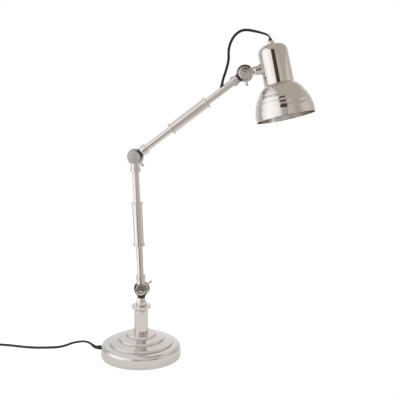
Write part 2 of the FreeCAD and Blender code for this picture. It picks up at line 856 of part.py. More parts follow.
def make_head_joint():
    """Knuckle with a waisted neck that ends in a thread through the shade's side."""
    start = D.eye_radius - D.neck_bite
    thread = D.neck_thread_radius
    make_knuckle("head_knuckle", HEAD, [
        (0, start), (D.head_neck_waist, start),
        (D.head_neck_waist, start + D.waist_from, D.waist_curve, -1),
        (D.neck_radius, start + D.waist_to), (D.neck_radius, D.saddle_from),
        (thread, D.saddle_from), (thread, D.neck_thread_end), (0, D.neck_thread_end)],
        D.head_back.number, D.head_forward.number)
    make_pivot("head", HEAD)
    wall = cylinder(D.cap_radius, D.cap_radius * 2,
                    at(x=-D.cap_radius.number, z=D.neck_reach) * ALONG_X)
    ring = cylinder(D.saddle_radius, D.neck_reach - D.saddle_from, at(z=D.saddle_from))
    solid = cut(ring, wall)
    rolled = HEAD * Placement(Vector(), Rotation(Z_AXIS, -D.shade_roll.number))
    named(cut(solid, cylinder(thread, D.neck_reach)), "neck_saddle", rolled)
    inside = D.cap_radius.number - D.shade_wall.number
    corner = D.neck_nut_corner.number
    seat = D.neck_reach.number - math.sqrt(inside * inside - corner * corner)
    seat += D.running_fit.number
    length = D.neck_thread_end.number - seat
    nut = cut(hexagon(D.neck_nut_corner, length, at(z=seat)),
              cylinder(D.neck_thread_radius, length, at(z=seat)))
    named(nut, "neck_nut", rolled)


def make_shade():
    """Spun shade: round-shouldered cap, a crease, then a bell with three fine steps."""
    outer = [(D.rim_radius, -D.rim_drop, D.mouth_curve, 1)]
    for radius, drop in ((D.bell_three_radius, D.bell_step_three),
                         (D.bell_two_radius, D.bell_step_two),
                         (D.bell_one_radius, D.bell_step_one)):
        outer += [(radius + D.bell_step, -drop), (radius, -drop, D.bell_curve, 1)]
    outer += [(D.cap_radius, -D.crease_drop),
              (D.cap_radius, D.shade_top - D.cap_shoulder, D.shoulder_curve, 1),
              (D.shade_flat + D.crown_width, D.shade_top - D.crown_drop),
              (D.shade_flat, D.shade_top)]
    inner = back_with_wall(outer, D.shade_wall)
    rim = (D.rim_radius - D.shade_wall, -D.rim_drop)
    hole = D.rod_radius
    corners = outer + [(hole, D.shade_top), (hole, D.shade_top - D.shade_wall)]
    corners += inner[:-1] + [rim]
    body = turned("shade", corners, SHADE)
    extrude(body, "Pocket", "YZ_Plane",
            lambda sketch: draw_circle(sketch, 0, 0, D.neck_thread_radius),
            D.cap_radius * 2, symmetric=False)


def make_gland():
    """Turned gland that holds the lampholder under the cap, with a rubber bush on top."""
    foot = D.shade_top
    top = foot + D.gland_height
    turned("cord_gland", [
        (0, foot - D.gland_nipple), (D.rod_radius, foot - D.gland_nipple), (D.rod_radius, foot),
        (D.gland_radius, foot), (D.gland_radius, foot + D.gland_barrel, D.gland_dome, 1),
        (D.gland_bush_radius + D.gland_lip, top), (0, top)], SHADE)
    bush = D.gland_bush_radius
    turned("gland_bush", [(0, top), (bush, top), (bush - D.edge_break, top + D.gland_bush_height),
                          (0, top + D.gland_bush_height)], SHADE)


def make_lampholder():
    """Screw lampholder on the gland's nipple, its shade ring, and the lamp in it."""
    top = D.shade_top - D.shade_wall
    nipple_end = D.shade_top - D.gland_nipple
    mouth = -D.holder_skirt
    ring_top = mouth + D.holder_ring_height
    floor = mouth + D.socket_depth
    shoulder = top - D.holder_shoulder
    turned("lampholder", [
        (D.rod_radius, top), (D.rod_radius + D.holder_land, top),
        (D.holder_radius - D.holder_bevel, shoulder), (D.holder_radius, shoulder - D.holder_bevel),
        (D.holder_radius, mouth), (D.socket_radius, mouth), (D.socket_radius, floor), (0, floor),
        (0, nipple_end), (D.rod_radius, nipple_end)], SHADE)
    turned("holder_ring", [
        (D.holder_radius, mouth), (D.holder_ring_radius, mouth),
        (D.holder_ring_radius, ring_top), (D.holder_radius, ring_top)], SHADE)
    cap_foot = -D.bulb_cap_drop
    contact = floor - D.contact_height
    turned("bulb_cap", [
        (0, cap_foot), (D.bulb_cap_radius, cap_foot),
        (D.bulb_cap_radius, contact - D.bulb_cap_cone), (D.contact_radius * 2, contact),
        (D.contact_radius, contact), (D.contact_radius, floor), (0, floor)], SHADE)
    glass = D.glass_wall
    neck = D.bulb_cap_radius
    collar = cap_foot - D.glass_neck
    low = cap_foot - D.bulb_length
    belly = D.bulb_radius
    middle = low + belly
    turned("bulb_glass", [
        (neck - glass, cap_foot), (neck - glass, collar, D.glass_curve, 1),
        (belly - glass, middle, belly - glass, -1), (0, low + glass), (0, low, belly, 1),
        (belly, middle, D.glass_curve, -1), (neck, collar), (neck, cap_foot)], SHADE)


# ---------------------------------------------------------------- cords

def rounded_path(points):
    """Straight runs joined by tangent arcs; each arc takes 0.45 of its shorter run."""
    edges = []
    radii = []
    start = points[0]
    for before, corner, after in zip(points, points[1:], points[2:]):
        one = before - corner
        two = after - corner
        half_turn = (math.pi - one.getAngle(two)) / 2
        back = 0.45 * min(one.Length, two.Length)
        radii.append(back / math.tan(half_turn))
        first = corner + one.normalize() * back
        last = corner + two.normalize() * back
        inward = (one + two).normalize()
        middle = corner + inward * radii[-1] * (1 / math.cos(half_turn) - 1)
        edges.append(Part.LineSegment(start, first).toShape())
        edges.append(Part.Arc(first, middle, last).toShape())
        start = last
    edges.append(Part.LineSegment(start, points[-1]).toShape())
    return Part.Wire(edges), radii


def make_cord(label, radius, points):
    """A plain round cord along a route, checked against its section times its length."""
    path, radii = rounded_path(points)
    section = Part.Wire(Part.Circle(points[0], points[1] - points[0], float(radius)).toShape())
    solid = path.makePipeShell([section], True, False)
    expected = math.pi * float(radius) ** 2 * path.Length
    cord = DOC.addObject("Part::Feature", label)
    cord.Shape = solid
    cord.Label = label
    cord.Placement = Placement()
    print("%s: length %.1f mm, volume ratio %.4f, radii %s" % (
        label, path.Length, solid.Volume / expected, " ".join("%.1f" % r for r in radii)))
    return cord


LOOP_OUT = 3.5
LOOP_IN = 9.0


def make_loop_cord():
    """The head's cord: out of the gland, over the knuckle and down into the upper arm.

    The places between its ends are set off from the head's pivot."""
    start = SHADE.multVec(Vector(0, 0, (D.shade_top + D.gland_height + D.gland_bush_height).number))
    away = SHADE.Rotation.multVec(Z_AXIS)
    boot = arm_grommet_frame()
    end = boot.multVec(Vector(0, 0, D.arm_grommet_top.number))
    inward = boot.Rotation.multVec(Z_AXIS)
    points = [start, start + away * LOOP_OUT]
    points += [HEAD_PIVOT + Vector(*place) for place in (
        (42.4, 7.0, 72.9), (34.4, 6.8, 75.9), (19.9, 6.2, 79.4), (2.9, 5.6, 82.4),
        (-10.1, 5.0, 80.9), (-21.6, 4.4, 71.9), (-29.1, 3.7, 58.9), (-33.1, 3.0, 42.9),
        (-31.6, 2.2, 24.4), (-37.6, 1.2, 0.9))]
    points += [end + inward * LOOP_IN, end]
    make_cord("loop_cord", D.loop_cord_radius, points)


CORD_Z = D.cord_radius + D.running_fit * 2
CORD_OUT = 14.0
PLUG_IN = 10.0
SWITCH_AT = Vector(-357, 15, 0)
COIL_AT = Vector(-440, -12, 0)
PLUG_TAIL_AT = Vector(-495, -13.5, 0)
PLUG_TURN = -60


def make_base_cord():
    """The mains lead on the table: base to switch, switch to coil, coil's top to plug."""
    low = CORD_Z.number
    high = (D.coil_height - D.cord_radius - D.side_play).number
    exit_frame = cord_exit_frame(D.base_radius - D.cover_wall)
    reach = D.base_grommet_length.number + D.cover_wall.number
    start = exit_frame.multVec(Vector(0, 0, reach))
    out = exit_frame.Rotation.multVec(Z_AXIS)
    points = [start, start + out * CORD_OUT]
    points += [Vector(*place) for place in (
        (-113.5, 4.0, 14.0), (-125.5, 18.0, 11.5), (-138.5, 31.0, 8.0), (-154.0, 37.5, 4.6))]
    points += [Vector(x, y, low) for x, y in (
        (-171, 33), (-186, 21), (-204, 11), (-228, 6), (-256, 8), (-292, SWITCH_AT.y))]
    points += [Vector(SWITCH_AT.x + D.switch_length.number / 2, SWITCH_AT.y, low)]
    make_cord("base_cord", D.cord_radius, points)
    make_cord("switch_cord", D.cord_radius, [
        Vector(SWITCH_AT.x - D.switch_length.number / 2, SWITCH_AT.y, low),
        Vector(-399, SWITCH_AT.y, low), Vector(-412, 16.4, low), Vector(-423.5, 14, low)])
    tail = Vector(PLUG_TAIL_AT.x, PLUG_TAIL_AT.y, D.plug_height.number / 2)
    inward = Rotation(Z_AXIS, PLUG_TURN).multVec(Y_AXIS)
    make_cord("plug_cord", D.cord_radius, [
        Vector(-467.4, 2.3, high), Vector(-478.5, -4, (high + tail.z) / 2),
        tail + inward * PLUG_IN, tail])


def make_coil():
    """The rest of the lead in a neat flat coil."""
    edge = D.coil_edge
    turned("cord_coil", [
        (D.coil_inner + edge, 0), (D.coil_outer - edge, 0), (D.coil_outer, edge),
        (D.coil_outer, D.coil_height - edge), (D.coil_outer - edge, D.coil_height),
        (D.coil_inner + edge, D.coil_height), (D.coil_inner, D.coil_height - edge),
        (D.coil_inner, edge)], at(COIL_AT.x, COIL_AT.y, 0))


def make_switch():
    """In-line switch: a lozenge housing with a rocker let into its top."""
    half = D.switch_length / 2
    side = D.switch_width / 2
    nose = D.switch_nose
    straight = half - D.switch_taper
    body = new_body("switch_housing")
    corners = [(half, -nose), (half, nose), (straight, side), (-straight, side),
               (-half, nose), (-half, -nose), (-straight, -side), (straight, -side)]
    extrude(body, "Pad", "XY_Plane", lambda sketch: draw_outline(sketch, corners),
            D.switch_height, symmetric=False)
    DOC.recompute()
    top = body.Tip
    rims = ["Edge%d" % (number + 1) for number, edge in enumerate(top.Shape.Edges)
            if edge.BoundBox.ZMin > D.switch_height.number - D.running_fit.number]
    fillet = body.newObject("PartDesign::Fillet", "switch_edges")
    fillet.Base = (top, rims)
    bind(fillet, "Radius", D.switch_round)
    body.Tip = fillet
    long = D.rocker_length / 2 + D.rocker_gap
    wide = D.rocker_width / 2 + D.rocker_gap
    well = [(-long, -wide), (long, -wide), (long, wide), (-long, wide)]
    sketch = new_sketch(body, "XY_Plane")
    sketch.AttachmentOffset = at(z=D.switch_height)
    draw_outline(sketch, well)
    pocket = body.newObject("PartDesign::Pocket", "switch_well")
    pocket.Profile = sketch
    bind(pocket, "Length", D.rocker_depth + D.rocker_rise)
    body.Tip = pocket
    body.Placement = Placement(SWITCH_AT, Rotation())
    return body


def make_rocker():
    """Rocker key, pressed down at one end: two faces that meet over its pivot."""
    half = D.rocker_length / 2
    body = new_body("switch_rocker")
    root = D.rocker_depth - D.rocker_pivot
    top = D.rocker_pivot + D.rocker_rise
    shoulder = D.rocker_pivot - D.rocker_shoulder
    keel = D.keel_half
    corners = [(-half, top), (0, top - D.rocker_dip), (half, top), (half, shoulder),
               (keel, -root, D.keel_curve, -1), (-keel, -root), (-half, shoulder)]
    extrude(body, "Pad", "XZ_Plane", lambda sketch: draw_outline(sketch, corners), D.rocker_width)
    pivot = Vector(SWITCH_AT.x, SWITCH_AT.y, D.switch_height.number - D.rocker_pivot.number)
    body.Placement = Placement(pivot, Rotation(Y_AXIS, -D.rocker_throw.number / 2))


def make_plug():
    """Flat two-pin plug lying on its side, its tapered tail turned towards the cord."""
    side = D.plug_width / 2
    length = D.plug_length
    middle = D.plug_height / 2
    body = new_body("plug_shell")
    nose = D.plug_nose
    corners = [(-side, 0), (side, 0), (side, D.plug_sides), (nose, length),
               (-nose, length), (-side, D.plug_sides)]
    extrude(body, "Pad", "XY_Plane", lambda sketch: draw_outline(sketch, corners),
            D.plug_height, symmetric=False)
    DOC.recompute()
    pad = body.Tip
    rims = ["Edge%d" % (number + 1) for number, edge in enumerate(pad.Shape.Edges)
            if edge.BoundBox.ZLength < D.running_fit.number]
    fillet = body.newObject("PartDesign::Fillet", "plug_edges")
    fillet.Base = (pad, rims)
    bind(fillet, "Radius", D.plug_round)
    body.Tip = fillet
    bite = D.plug_tail_bite
    tail = cone(D.plug_tail_radius, D.cord_radius + D.edge_break, D.plug_tail + bite,
                at(y=length - bite, z=middle) * ALONG_Y)
    turn_to = Rotation(Z_AXIS, PLUG_TURN)
    tip = Vector(0, (length + D.plug_tail).number, 0)
    place = Placement(PLUG_TAIL_AT - turn_to.multVec(tip), turn_to)
    named(fuse(body, tail), "plug_body", place)
    pins = [cylinder(D.pin_radius, D.pin_length,
                     at(x=D.pin_spacing * sign / 2, y=-D.pin_length.number, z=middle) * ALONG_Y)
            for sign in (-1, 1)]
    named(fuse(*pins), "plug_pins", place)


def build():
    make_base()
    make_post()
    make_stem()
    make_lower_arm()
    make_upper_arm()
    make_head_joint()
    make_shade()
    make_gland()
    make_lampholder()
    make_lever("lower_lever", LOWER_PIVOT, D.lower_lever_turn)
    make_lever("elbow_lever", ELBOW_PIVOT, D.elbow_lever_turn)
    make_lever("head_lever", HEAD_PIVOT, D.head_lever_turn)
    make_loop_cord()
    make_base_cord()
    make_coil()
    make_switch()
    make_rocker()
    make_plug()
    DOC.recompute()


def finished_parts():
    """Every sub-part: a body or Part object that no other object uses."""
    return [item for item in DOC.Objects
            if item.TypeId.startswith(("PartDesign::Body", "Part::")) and not item.InList]


def check(parts):
    """Stop before anything is written if an object failed or a shape is not a sound solid."""
    for item in DOC.Objects:
        if "Invalid" in item.State or "Error" in item.State:
            raise RuntimeError("%s failed: %s" % (item.Label, item.State))
    for item in parts:
        if item.Shape.isNull() or not item.Shape.isValid() or not item.Shape.Solids:
            raise RuntimeError("%s is not a valid solid" % item.Label)


def export(parts):
    os.makedirs("parts", exist_ok=True)
    for item in parts:
        item.Shape.exportStep(os.path.join("parts", item.Label + ".step"))
        print("%-24s %d solid(s) %10.1f mm3" % (
            item.Label, len(item.Shape.Solids), item.Shape.Volume))


build()
PARTS = finished_parts()
check(PARTS)
export(PARTS)
print("%d nodes, pivots %s %s %s" % (len(PARTS), LOWER_PIVOT, ELBOW_PIVOT, HEAD_PIVOT))
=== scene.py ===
"""Tabletop searchlight lamp, dressed: polished nickel, black cords and a pale studio.

It stands in the solids' frame: metres, +Z up the post, the arms fold in the XZ plane and the
shade hangs towards +X. The lamp's classes hold millimetres and degrees, apart from the values
that MM or math.radians turns to metres or radians at once. The studio is in metres.
"""
import json
import logging
import math
from dataclasses import dataclass, field
from enum import Enum
from typing import Protocol

import bpy
from mathutils import Matrix, Quaternion, Vector


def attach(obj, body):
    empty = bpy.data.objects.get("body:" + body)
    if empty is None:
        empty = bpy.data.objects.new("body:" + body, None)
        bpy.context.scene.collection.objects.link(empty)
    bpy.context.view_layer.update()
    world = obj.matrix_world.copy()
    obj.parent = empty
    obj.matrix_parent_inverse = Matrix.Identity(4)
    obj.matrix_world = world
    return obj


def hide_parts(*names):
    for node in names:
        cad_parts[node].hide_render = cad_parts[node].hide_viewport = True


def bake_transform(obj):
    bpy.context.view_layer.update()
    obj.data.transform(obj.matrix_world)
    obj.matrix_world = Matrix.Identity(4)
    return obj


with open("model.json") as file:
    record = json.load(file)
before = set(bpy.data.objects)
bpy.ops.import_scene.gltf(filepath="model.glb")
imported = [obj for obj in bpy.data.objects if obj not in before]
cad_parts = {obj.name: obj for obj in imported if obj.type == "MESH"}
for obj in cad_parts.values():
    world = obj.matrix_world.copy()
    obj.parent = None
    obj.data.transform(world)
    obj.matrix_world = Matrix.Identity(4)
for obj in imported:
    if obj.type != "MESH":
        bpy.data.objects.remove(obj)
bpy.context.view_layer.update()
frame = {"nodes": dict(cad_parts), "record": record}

LOG = logging.getLogger("searchlight")
MM = 0.001
FULL_TURN = 2 * math.pi
Z_AXIS = Vector((0, 0, 1))
ALONG_Y = Matrix.Rotation(math.radians(-90), 4, "X")
ALONG_X = Matrix.Rotation(math.radians(90), 4, "Y")

# On which side of an arc's way its centre lies.
LEFT = 1
RIGHT = -1
# The radius that a pole keeps until its corners merge, in millimetres.
POLE = 1e-4
# How near corners merge, in metres, on turned pieces and on copies of the solids.
TURNED_MERGE = 5e-7
COPY_MERGE = 1e-6
# Edges under these angles are shaded smooth, in degrees.
TURNED_SMOOTH = 35
COPY_SMOOTH = 28
CORD_SMOOTH = 50
# Edges over the first angle are broken, and copied faces under the second are one face.
BREAK_OVER = 40
FLAT_UNDER = 0.3

Point = tuple[float, float, float]
Outline = list[tuple[float, float]]
Ramp = tuple[tuple[float, float], ...]


# ---------------------------------------------------------------- shader helpers

def linear(hex_colour: str) -> tuple[float, float, float, float]:
    """Turn an sRGB hex colour into the linear colour that shaders take.

    Args:
        hex_colour: Six hex digits, red first.

    Returns:
        Linear red, green and blue, with an alpha of 1.
    """
    channels = [int(hex_colour[start:start + 2], 16) / 255 for start in (0, 2, 4)]
    bent = [c / 12.92 if c <= 0.04045 else ((c + 0.055) / 1.055) ** 2.4 for c in channels]
    return (bent[0], bent[1], bent[2], 1.0)


def wire(tree: bpy.types.NodeTree, node: bpy.types.Node, inputs: dict) -> None:
    """Set a node's own sockets and link what feeds them.

    Args:
        tree: The node's tree.
        node: The node.
        inputs: Socket name or index to a value, or to the output socket that feeds it.
    """
    for name, value in inputs.items():
        if isinstance(value, bpy.types.NodeSocket):
            tree.links.new(value, node.inputs[name])
        else:
            node.inputs[name].default_value = value


def add_node(tree: bpy.types.NodeTree, kind: str, inputs: dict | None = None,
             **settings: object) -> bpy.types.Node:
    """Add one shader node, set it up and link what feeds it.

    Args:
        tree: The node tree that gets the node.
        kind: The node's type name.
        inputs: What its sockets hold, as wire takes it.
        **settings: Properties of the node itself.

    Returns:
        The new node.
    """
    node = tree.nodes.new(kind)
    for name, value in settings.items():
        setattr(node, name, value)
    wire(tree, node, inputs or {})
    return node


def set_ramp(node: bpy.types.Node, stops: Ramp) -> None:
    """Give a colour ramp its stops.

    Args:
        node: The Color Ramp node.
        stops: Position from 0 to 1 and brightness of each stop, in order.
    """
    ramp = node.color_ramp
    while len(ramp.elements) < len(stops):
        ramp.elements.new(0.5)
    for element, (position, level) in zip(ramp.elements, stops):
        element.position = position
        element.color = (level, level, level, 1)


def new_material(label: str) -> tuple[bpy.types.Material, bpy.types.NodeTree, bpy.types.Node]:
    """Make a material with nodes.

    Args:
        label: Its name.

    Returns:
        The material, its node tree and its shader.
    """
    material = bpy.data.materials.new(label)
    material.use_nodes = True
    tree = material.node_tree
    return material, tree, tree.nodes["Principled BSDF"]


# ---------------------------------------------------------------- finishes

class Finish(Protocol):
    """Anything that can make its own material."""

    def build(self) -> bpy.types.Material:
        """Make the material."""


@dataclass(frozen=True)
class NickelPlate:
    """Nickel electroplated on spun and turned brass, then buffed on a wheel.

    Buffing leaves a mirror with a soft haze, so reflections keep their edges but spread a
    little, and handling leaves faint smudges. Nickel is warmer than chrome.
    """

    label: str = "polished nickel plate"
    colour: str = "DBD6D3"
    warm_colour: str = "D4CECA"
    roughness: float = 0.06
    smudge_roughness: float = 0.13
    smudge_size: float = 26 * MM
    smudge_faint: float = 0.45
    smudge_full: float = 0.8
    ripple_size: float = 12 * MM
    ripple_height: float = 0.012 * MM

    def build(self) -> bpy.types.Material:
        """Make the material.

        Returns:
            The new material.
        """
        material, tree, shader = new_material(self.label)
        place = add_node(tree, "ShaderNodeTexCoord").outputs["Object"]
        smudges = add_node(tree, "ShaderNodeTexNoise", {
            "Vector": place, "Scale": 1 / self.smudge_size, "Detail": 4.0, "Roughness": 0.6})
        tint = add_node(tree, "ShaderNodeMix", {
            "Factor": smudges.outputs["Fac"], "A": linear(self.colour),
            "B": linear(self.warm_colour)}, data_type="RGBA")
        haze = add_node(tree, "ShaderNodeMapRange", {
            "Value": smudges.outputs["Fac"], "From Min": self.smudge_faint,
            "From Max": self.smudge_full, "To Min": self.roughness,
            "To Max": self.smudge_roughness})
        ripple = add_node(tree, "ShaderNodeTexNoise", {
            "Vector": place, "Scale": 1 / self.ripple_size, "Detail": 1.0})
        bump = add_node(tree, "ShaderNodeBump", {
            "Height": ripple.outputs["Fac"], "Distance": self.ripple_height, "Strength": 1.0})
        wire(tree, shader, {
            "Metallic": 1.0, "Base Color": tint.outputs["Result"],
            "Roughness": haze.outputs["Result"], "Normal": bump.outputs["Normal"]})
        return material


@dataclass(frozen=True)
class GrainedSurface:
    """A plain material with a fine grain: rubber, nylon, felt, iron, zinc or brass."""

    label: str
    colour: str
    other_colour: str
    roughness: float
    grain_size: float
    grain_height: float
    metallic: float = 0.0
    sheen: float = 0.0

    def build(self) -> bpy.types.Material:
        """Make the material.

        Returns:
            The new material.
        """
        material, tree, shader = new_material(self.label)
        place = add_node(tree, "ShaderNodeTexCoord").outputs["Object"]
        grain = add_node(tree, "ShaderNodeTexNoise", {
            "Vector": place, "Scale": 1 / self.grain_size, "Detail": 3.0, "Roughness": 0.6})
        tint = add_node(tree, "ShaderNodeMix", {
            "Factor": grain.outputs["Fac"], "A": linear(self.colour),
            "B": linear(self.other_colour)}, data_type="RGBA")
        bump = add_node(tree, "ShaderNodeBump", {
            "Height": grain.outputs["Fac"], "Distance": self.grain_height, "Strength": 1.0})
        wire(tree, shader, {
            "Metallic": self.metallic, "Roughness": self.roughness, "Sheen Weight": self.sheen,
            "Base Color": tint.outputs["Result"], "Normal": bump.outputs["Normal"]})
        return material


@dataclass(frozen=True)
class OpalGlass:
    """Opal glass blown for a lamp: milky, and satin from the white coat inside it."""

    label: str = "opal glass"
    colour: str = "F4F1E8"
    cloud_colour: str = "EFEBE0"
    roughness: float = 0.28
    transmission: float = 0.25
    cloud_size: float = 14 * MM

    def build(self) -> bpy.types.Material:
        """Make the material.

        Returns:
            The new material.
        """
        material, tree, shader = new_material(self.label)
        place = add_node(tree, "ShaderNodeTexCoord").outputs["Object"]
        cloud = add_node(tree, "ShaderNodeTexNoise", {
            "Vector": place, "Scale": 1 / self.cloud_size, "Detail": 2.0})
        tint = add_node(tree, "ShaderNodeMix", {
            "Factor": cloud.outputs["Fac"], "A": linear(self.colour),
            "B": linear(self.cloud_colour)}, data_type="RGBA")
        wire(tree, shader, {
            "Base Color": tint.outputs["Result"], "Roughness": self.roughness,
            "Transmission Weight": self.transmission})
        return material


# Cast grey iron under black stoving paint, which rounds the sand's pimples.
CAST_IRON = GrainedSurface("painted cast iron", "26262A", "1B1B1E", roughness=0.6,
                           grain_size=1.6 * MM, grain_height=0.15 * MM)
# Zinc on turned steel: a cool grey with a soft bloom.
ZINC_STEEL = GrainedSurface("zinc plated steel", "B9BCC0", "A5A8AC", roughness=0.32,
                            grain_size=0.8 * MM, grain_height=0.004 * MM, metallic=1.0)
# Extruded PVC sheath: satin black that shows a long soft highlight.
SHEATH = GrainedSurface("satin pvc sheath", "161617", "1F1F20", roughness=0.38,
                        grain_size=0.7 * MM, grain_height=0.012 * MM)
# Injection moulded nylon: fine spark texture, so black but never glossy.
NYLON = GrainedSurface("moulded black nylon", "131314", "1C1C1D", roughness=0.46,
                       grain_size=0.45 * MM, grain_height=0.012 * MM)
# Needled wool felt: fibres a few hundredths thick, drawn coarse enough to show.
FELT = GrainedSurface("needled felt", "1A1A1A", "2B2B2B", roughness=0.95,
                      grain_size=0.5 * MM, grain_height=0.12 * MM, sheen=0.4)
# Turned brass, left bare for contact.
BRASS = GrainedSurface("turned brass", "D8B46A", "C9A259", roughness=0.24,
                       grain_size=1.0 * MM, grain_height=0.004 * MM, metallic=1.0)


class Slot(Enum):
    """The record's material slots, each with the finish that its nodes get."""

    NICKEL = ("nickel", NickelPlate())
    IRON = ("iron", CAST_IRON)
    STEEL = ("steel", ZINC_STEEL)
    RUBBER = ("black_rubber", SHEATH)
    PLASTIC = ("black_plastic", NYLON)
    FELT = ("felt", FELT)
    GLASS = ("opal_glass", OpalGlass())
    BRASS = ("brass", BRASS)

    def __init__(self, slot: str, finish: Finish) -> None:
        """Keep the slot's name in the record and its finish."""
        self.slot = slot
        self.finish = finish


class Dresser:
    """Gives nodes and new pieces their finish, body and material slot."""

    def __init__(self) -> None:
        """Make each material once and read which slot and body each node has."""
        self.materials = {slot: slot.finish.build() for slot in Slot}
        named = {slot.slot: slot for slot in Slot}
        self.slots = {part["node"]: named[part["material_slot"]]
                      for part in frame["record"]["subparts"]}
        self.bodies = {node: body
                       for body, nodes in frame["record"]["behaviour"]["bodies"].items()
                       for node in nodes}
        self.replaced: set[str] = set()

    def paint(self, piece: bpy.types.Object, slot: Slot) -> None:
        """Put one slot's material on a piece in place of whatever it has."""
        piece.data.materials.clear()
        piece.data.materials.append(self.materials[slot])

    def stand_in(self, piece: bpy.types.Object, *nodes: str) -> None:
        """Let a finished piece stand for nodes of one body and one slot.

        Args:
            piece: The piece, in place.
            *nodes: The nodes that it stands for.
        """
        self.add(piece, self.slots[nodes[0]], self.bodies[nodes[0]])
        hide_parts(*nodes)
        self.replaced.update(nodes)

    def add(self, piece: bpy.types.Object, slot: Slot, body: str) -> None:
        """Add a piece to a body and give it its finish.

        Args:
            piece: The piece, in place.
            slot: The material slot that it gets.
            body: The body that it rides on.
        """
        self.paint(piece, slot)
        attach(piece, body)
        LOG.info("%s rides on %s", piece.name, body)

    def dress_rest(self) -> None:
        """Give every node that no piece stands for its material."""
        for name, node in frame["nodes"].items():
            if name not in self.replaced:
                self.paint(node, self.slots[name])
                LOG.info("%s keeps its shape", name)


# ---------------------------------------------------------------- mesh helpers

def link_new(name: str, data: bpy.types.ID) -> bpy.types.Object:
    """Make an object and link it to the scene.

    Args:
        name: The object's name.
        data: Its mesh, curve or camera.

    Returns:
        The new object.
    """
    made = bpy.data.objects.new(name, data)
    bpy.context.scene.collection.objects.link(made)
    return made


def select_only(piece: bpy.types.Object) -> None:
    """Deselect everything and make one piece the active one.

    Args:
        piece: The piece that stays selected.
    """
    bpy.ops.object.select_all(action="DESELECT")
    piece.select_set(True)
    bpy.context.view_layer.objects.active = piece


def join(piece: bpy.types.Object, other: bpy.types.Object) -> None:
    """Add another piece's mesh to a piece.

    Args:
        piece: The piece that takes the mesh and keeps its name.
        other: The piece that goes into it.
    """
    select_only(piece)
    other.select_set(True)
    bpy.ops.object.join()


def polish(piece: bpy.types.Object, edge: float, angle: float) -> None:
    """Break a piece's sharp edges and shade it so that flat faces stay flat.

    Args:
        piece: The piece.
        edge: How wide the broken edges are, in millimetres, or 0 for none.
        angle: Edges sharper than this many degrees stay sharp in shading.
    """
    select_only(piece)
    if edge:
        bevel = piece.modifiers.new("edges", "BEVEL")
        bevel.width = edge * MM
        bevel.segments = 3
        bevel.limit_method = "ANGLE"
        bevel.angle_limit = math.radians(BREAK_OVER)
        bpy.ops.object.modifier_apply(modifier=bevel.name)
    bpy.ops.object.shade_smooth_by_angle(angle=math.radians(angle))
    weighted = piece.modifiers.new("normals", "WEIGHTED_NORMAL")
    weighted.keep_sharp = True
    bpy.ops.object.modifier_apply(modifier=weighted.name)


def arc(start: tuple[float, float], stop: tuple[float, float], radius: float, side: int, *,
        steps: int) -> Outline:
    """The points of a short arc, with its start and its stop.

    Args:
        start: Where the arc begins, as radius and height.
        stop: Where it ends.
        radius: Its radius.
        side: LEFT where its centre lies left of the way, RIGHT where it lies right.
        steps: How many edges it is cut into.

    Returns:
        The points from start to stop.
    """
    first = Vector(start)
    last = Vector(stop)
    chord = last - first
    left = Vector((-chord.y, chord.x)).normalized()
    rise = math.sqrt(max(radius ** 2 - chord.length_squared / 4, 0))
    middle = (first + last) / 2 + left * side * rise
    begin = math.atan2(first.y - middle.y, first.x - middle.x)
    sweep = math.atan2(last.y - middle.y, last.x - middle.x) - begin
    sweep = (sweep + math.pi) % FULL_TURN - math.pi
    angles = [begin + sweep * step / steps for step in range(1, steps)]
    between = [(middle.x + radius * math.cos(a), middle.y + radius * math.sin(a))
               for a in angles]
    return [start] + between + [stop]


def lathe(name: str, outline: Outline, place: Matrix, *, closed: bool = True, around: int = 48,
          edge: float = 0.0) -> bpy.types.Object:
    """Turn an outline about the Z axis, from one ring of edges extruded step by step.

    Args:
        name: The piece's name.
        outline: Radius and height of each corner, in millimetres.
        place: The frame that the piece is turned in.
        closed: Whether the last corner joins the first, as in a ring.
        around: How many steps one turn takes.
        edge: How wide the broken edges are, in millimetres, or 0 for none.

    Returns:
        The piece, at the origin with its place in its mesh.
    """
    corners = [(max(radius, POLE) * MM, height * MM) for radius, height in outline]
    if closed:
        corners.append(corners[0])
    radius, height = corners[0]
    bpy.ops.object.select_all(action="DESELECT")
    bpy.ops.mesh.primitive_circle_add(vertices=around, radius=radius, location=(0, 0, height))
    piece = bpy.context.object
    piece.name = name
    bpy.ops.object.transform_apply(location=True, rotation=False, scale=False)
    bpy.ops.object.mode_set(mode="EDIT")
    for next_radius, next_height in corners[1:]:
        bpy.ops.mesh.extrude_region_move(
            TRANSFORM_OT_translate={"value": (0, 0, next_height - height)})
        swell = next_radius / radius
        bpy.ops.transform.resize(value=(swell, swell, 1), center_override=(0, 0, next_height))
        radius, height = next_radius, next_height
    bpy.ops.mesh.select_all(action="SELECT")
    bpy.ops.mesh.remove_doubles(threshold=TURNED_MERGE)
    bpy.ops.mesh.normals_make_consistent(inside=False)
    bpy.ops.object.mode_set(mode="OBJECT")
    piece.data.transform(place)
    polish(piece, edge, TURNED_SMOOTH)
    return piece


def smooth_copy(node: str, name: str) -> bpy.types.Object:
    """Copy a node's mesh, merge its loose triangles into faces and shade it smooth.

    Args:
        node: The node that is copied.
        name: The new piece's name.

    Returns:
        The copy, at the origin with its place in its mesh.
    """
    piece = link_new(name, frame["nodes"][node].data.copy())
    select_only(piece)
    bpy.ops.object.mode_set(mode="EDIT")
    bpy.ops.mesh.select_all(action="SELECT")
    bpy.ops.mesh.remove_doubles(threshold=COPY_MERGE)
    bpy.ops.mesh.dissolve_limited(angle_limit=math.radians(FLAT_UNDER))
    bpy.ops.object.mode_set(mode="OBJECT")
    polish(piece, 0, COPY_SMOOTH)
    return piece


def lean(x: float, z: float, degrees: float) -> Matrix:
    """A frame at a place in the XZ plane, in millimetres, that leans towards +X."""
    return (Matrix.Translation((x * MM, 0, z * MM))
            @ Matrix.Rotation(math.radians(degrees), 4, "Y"))


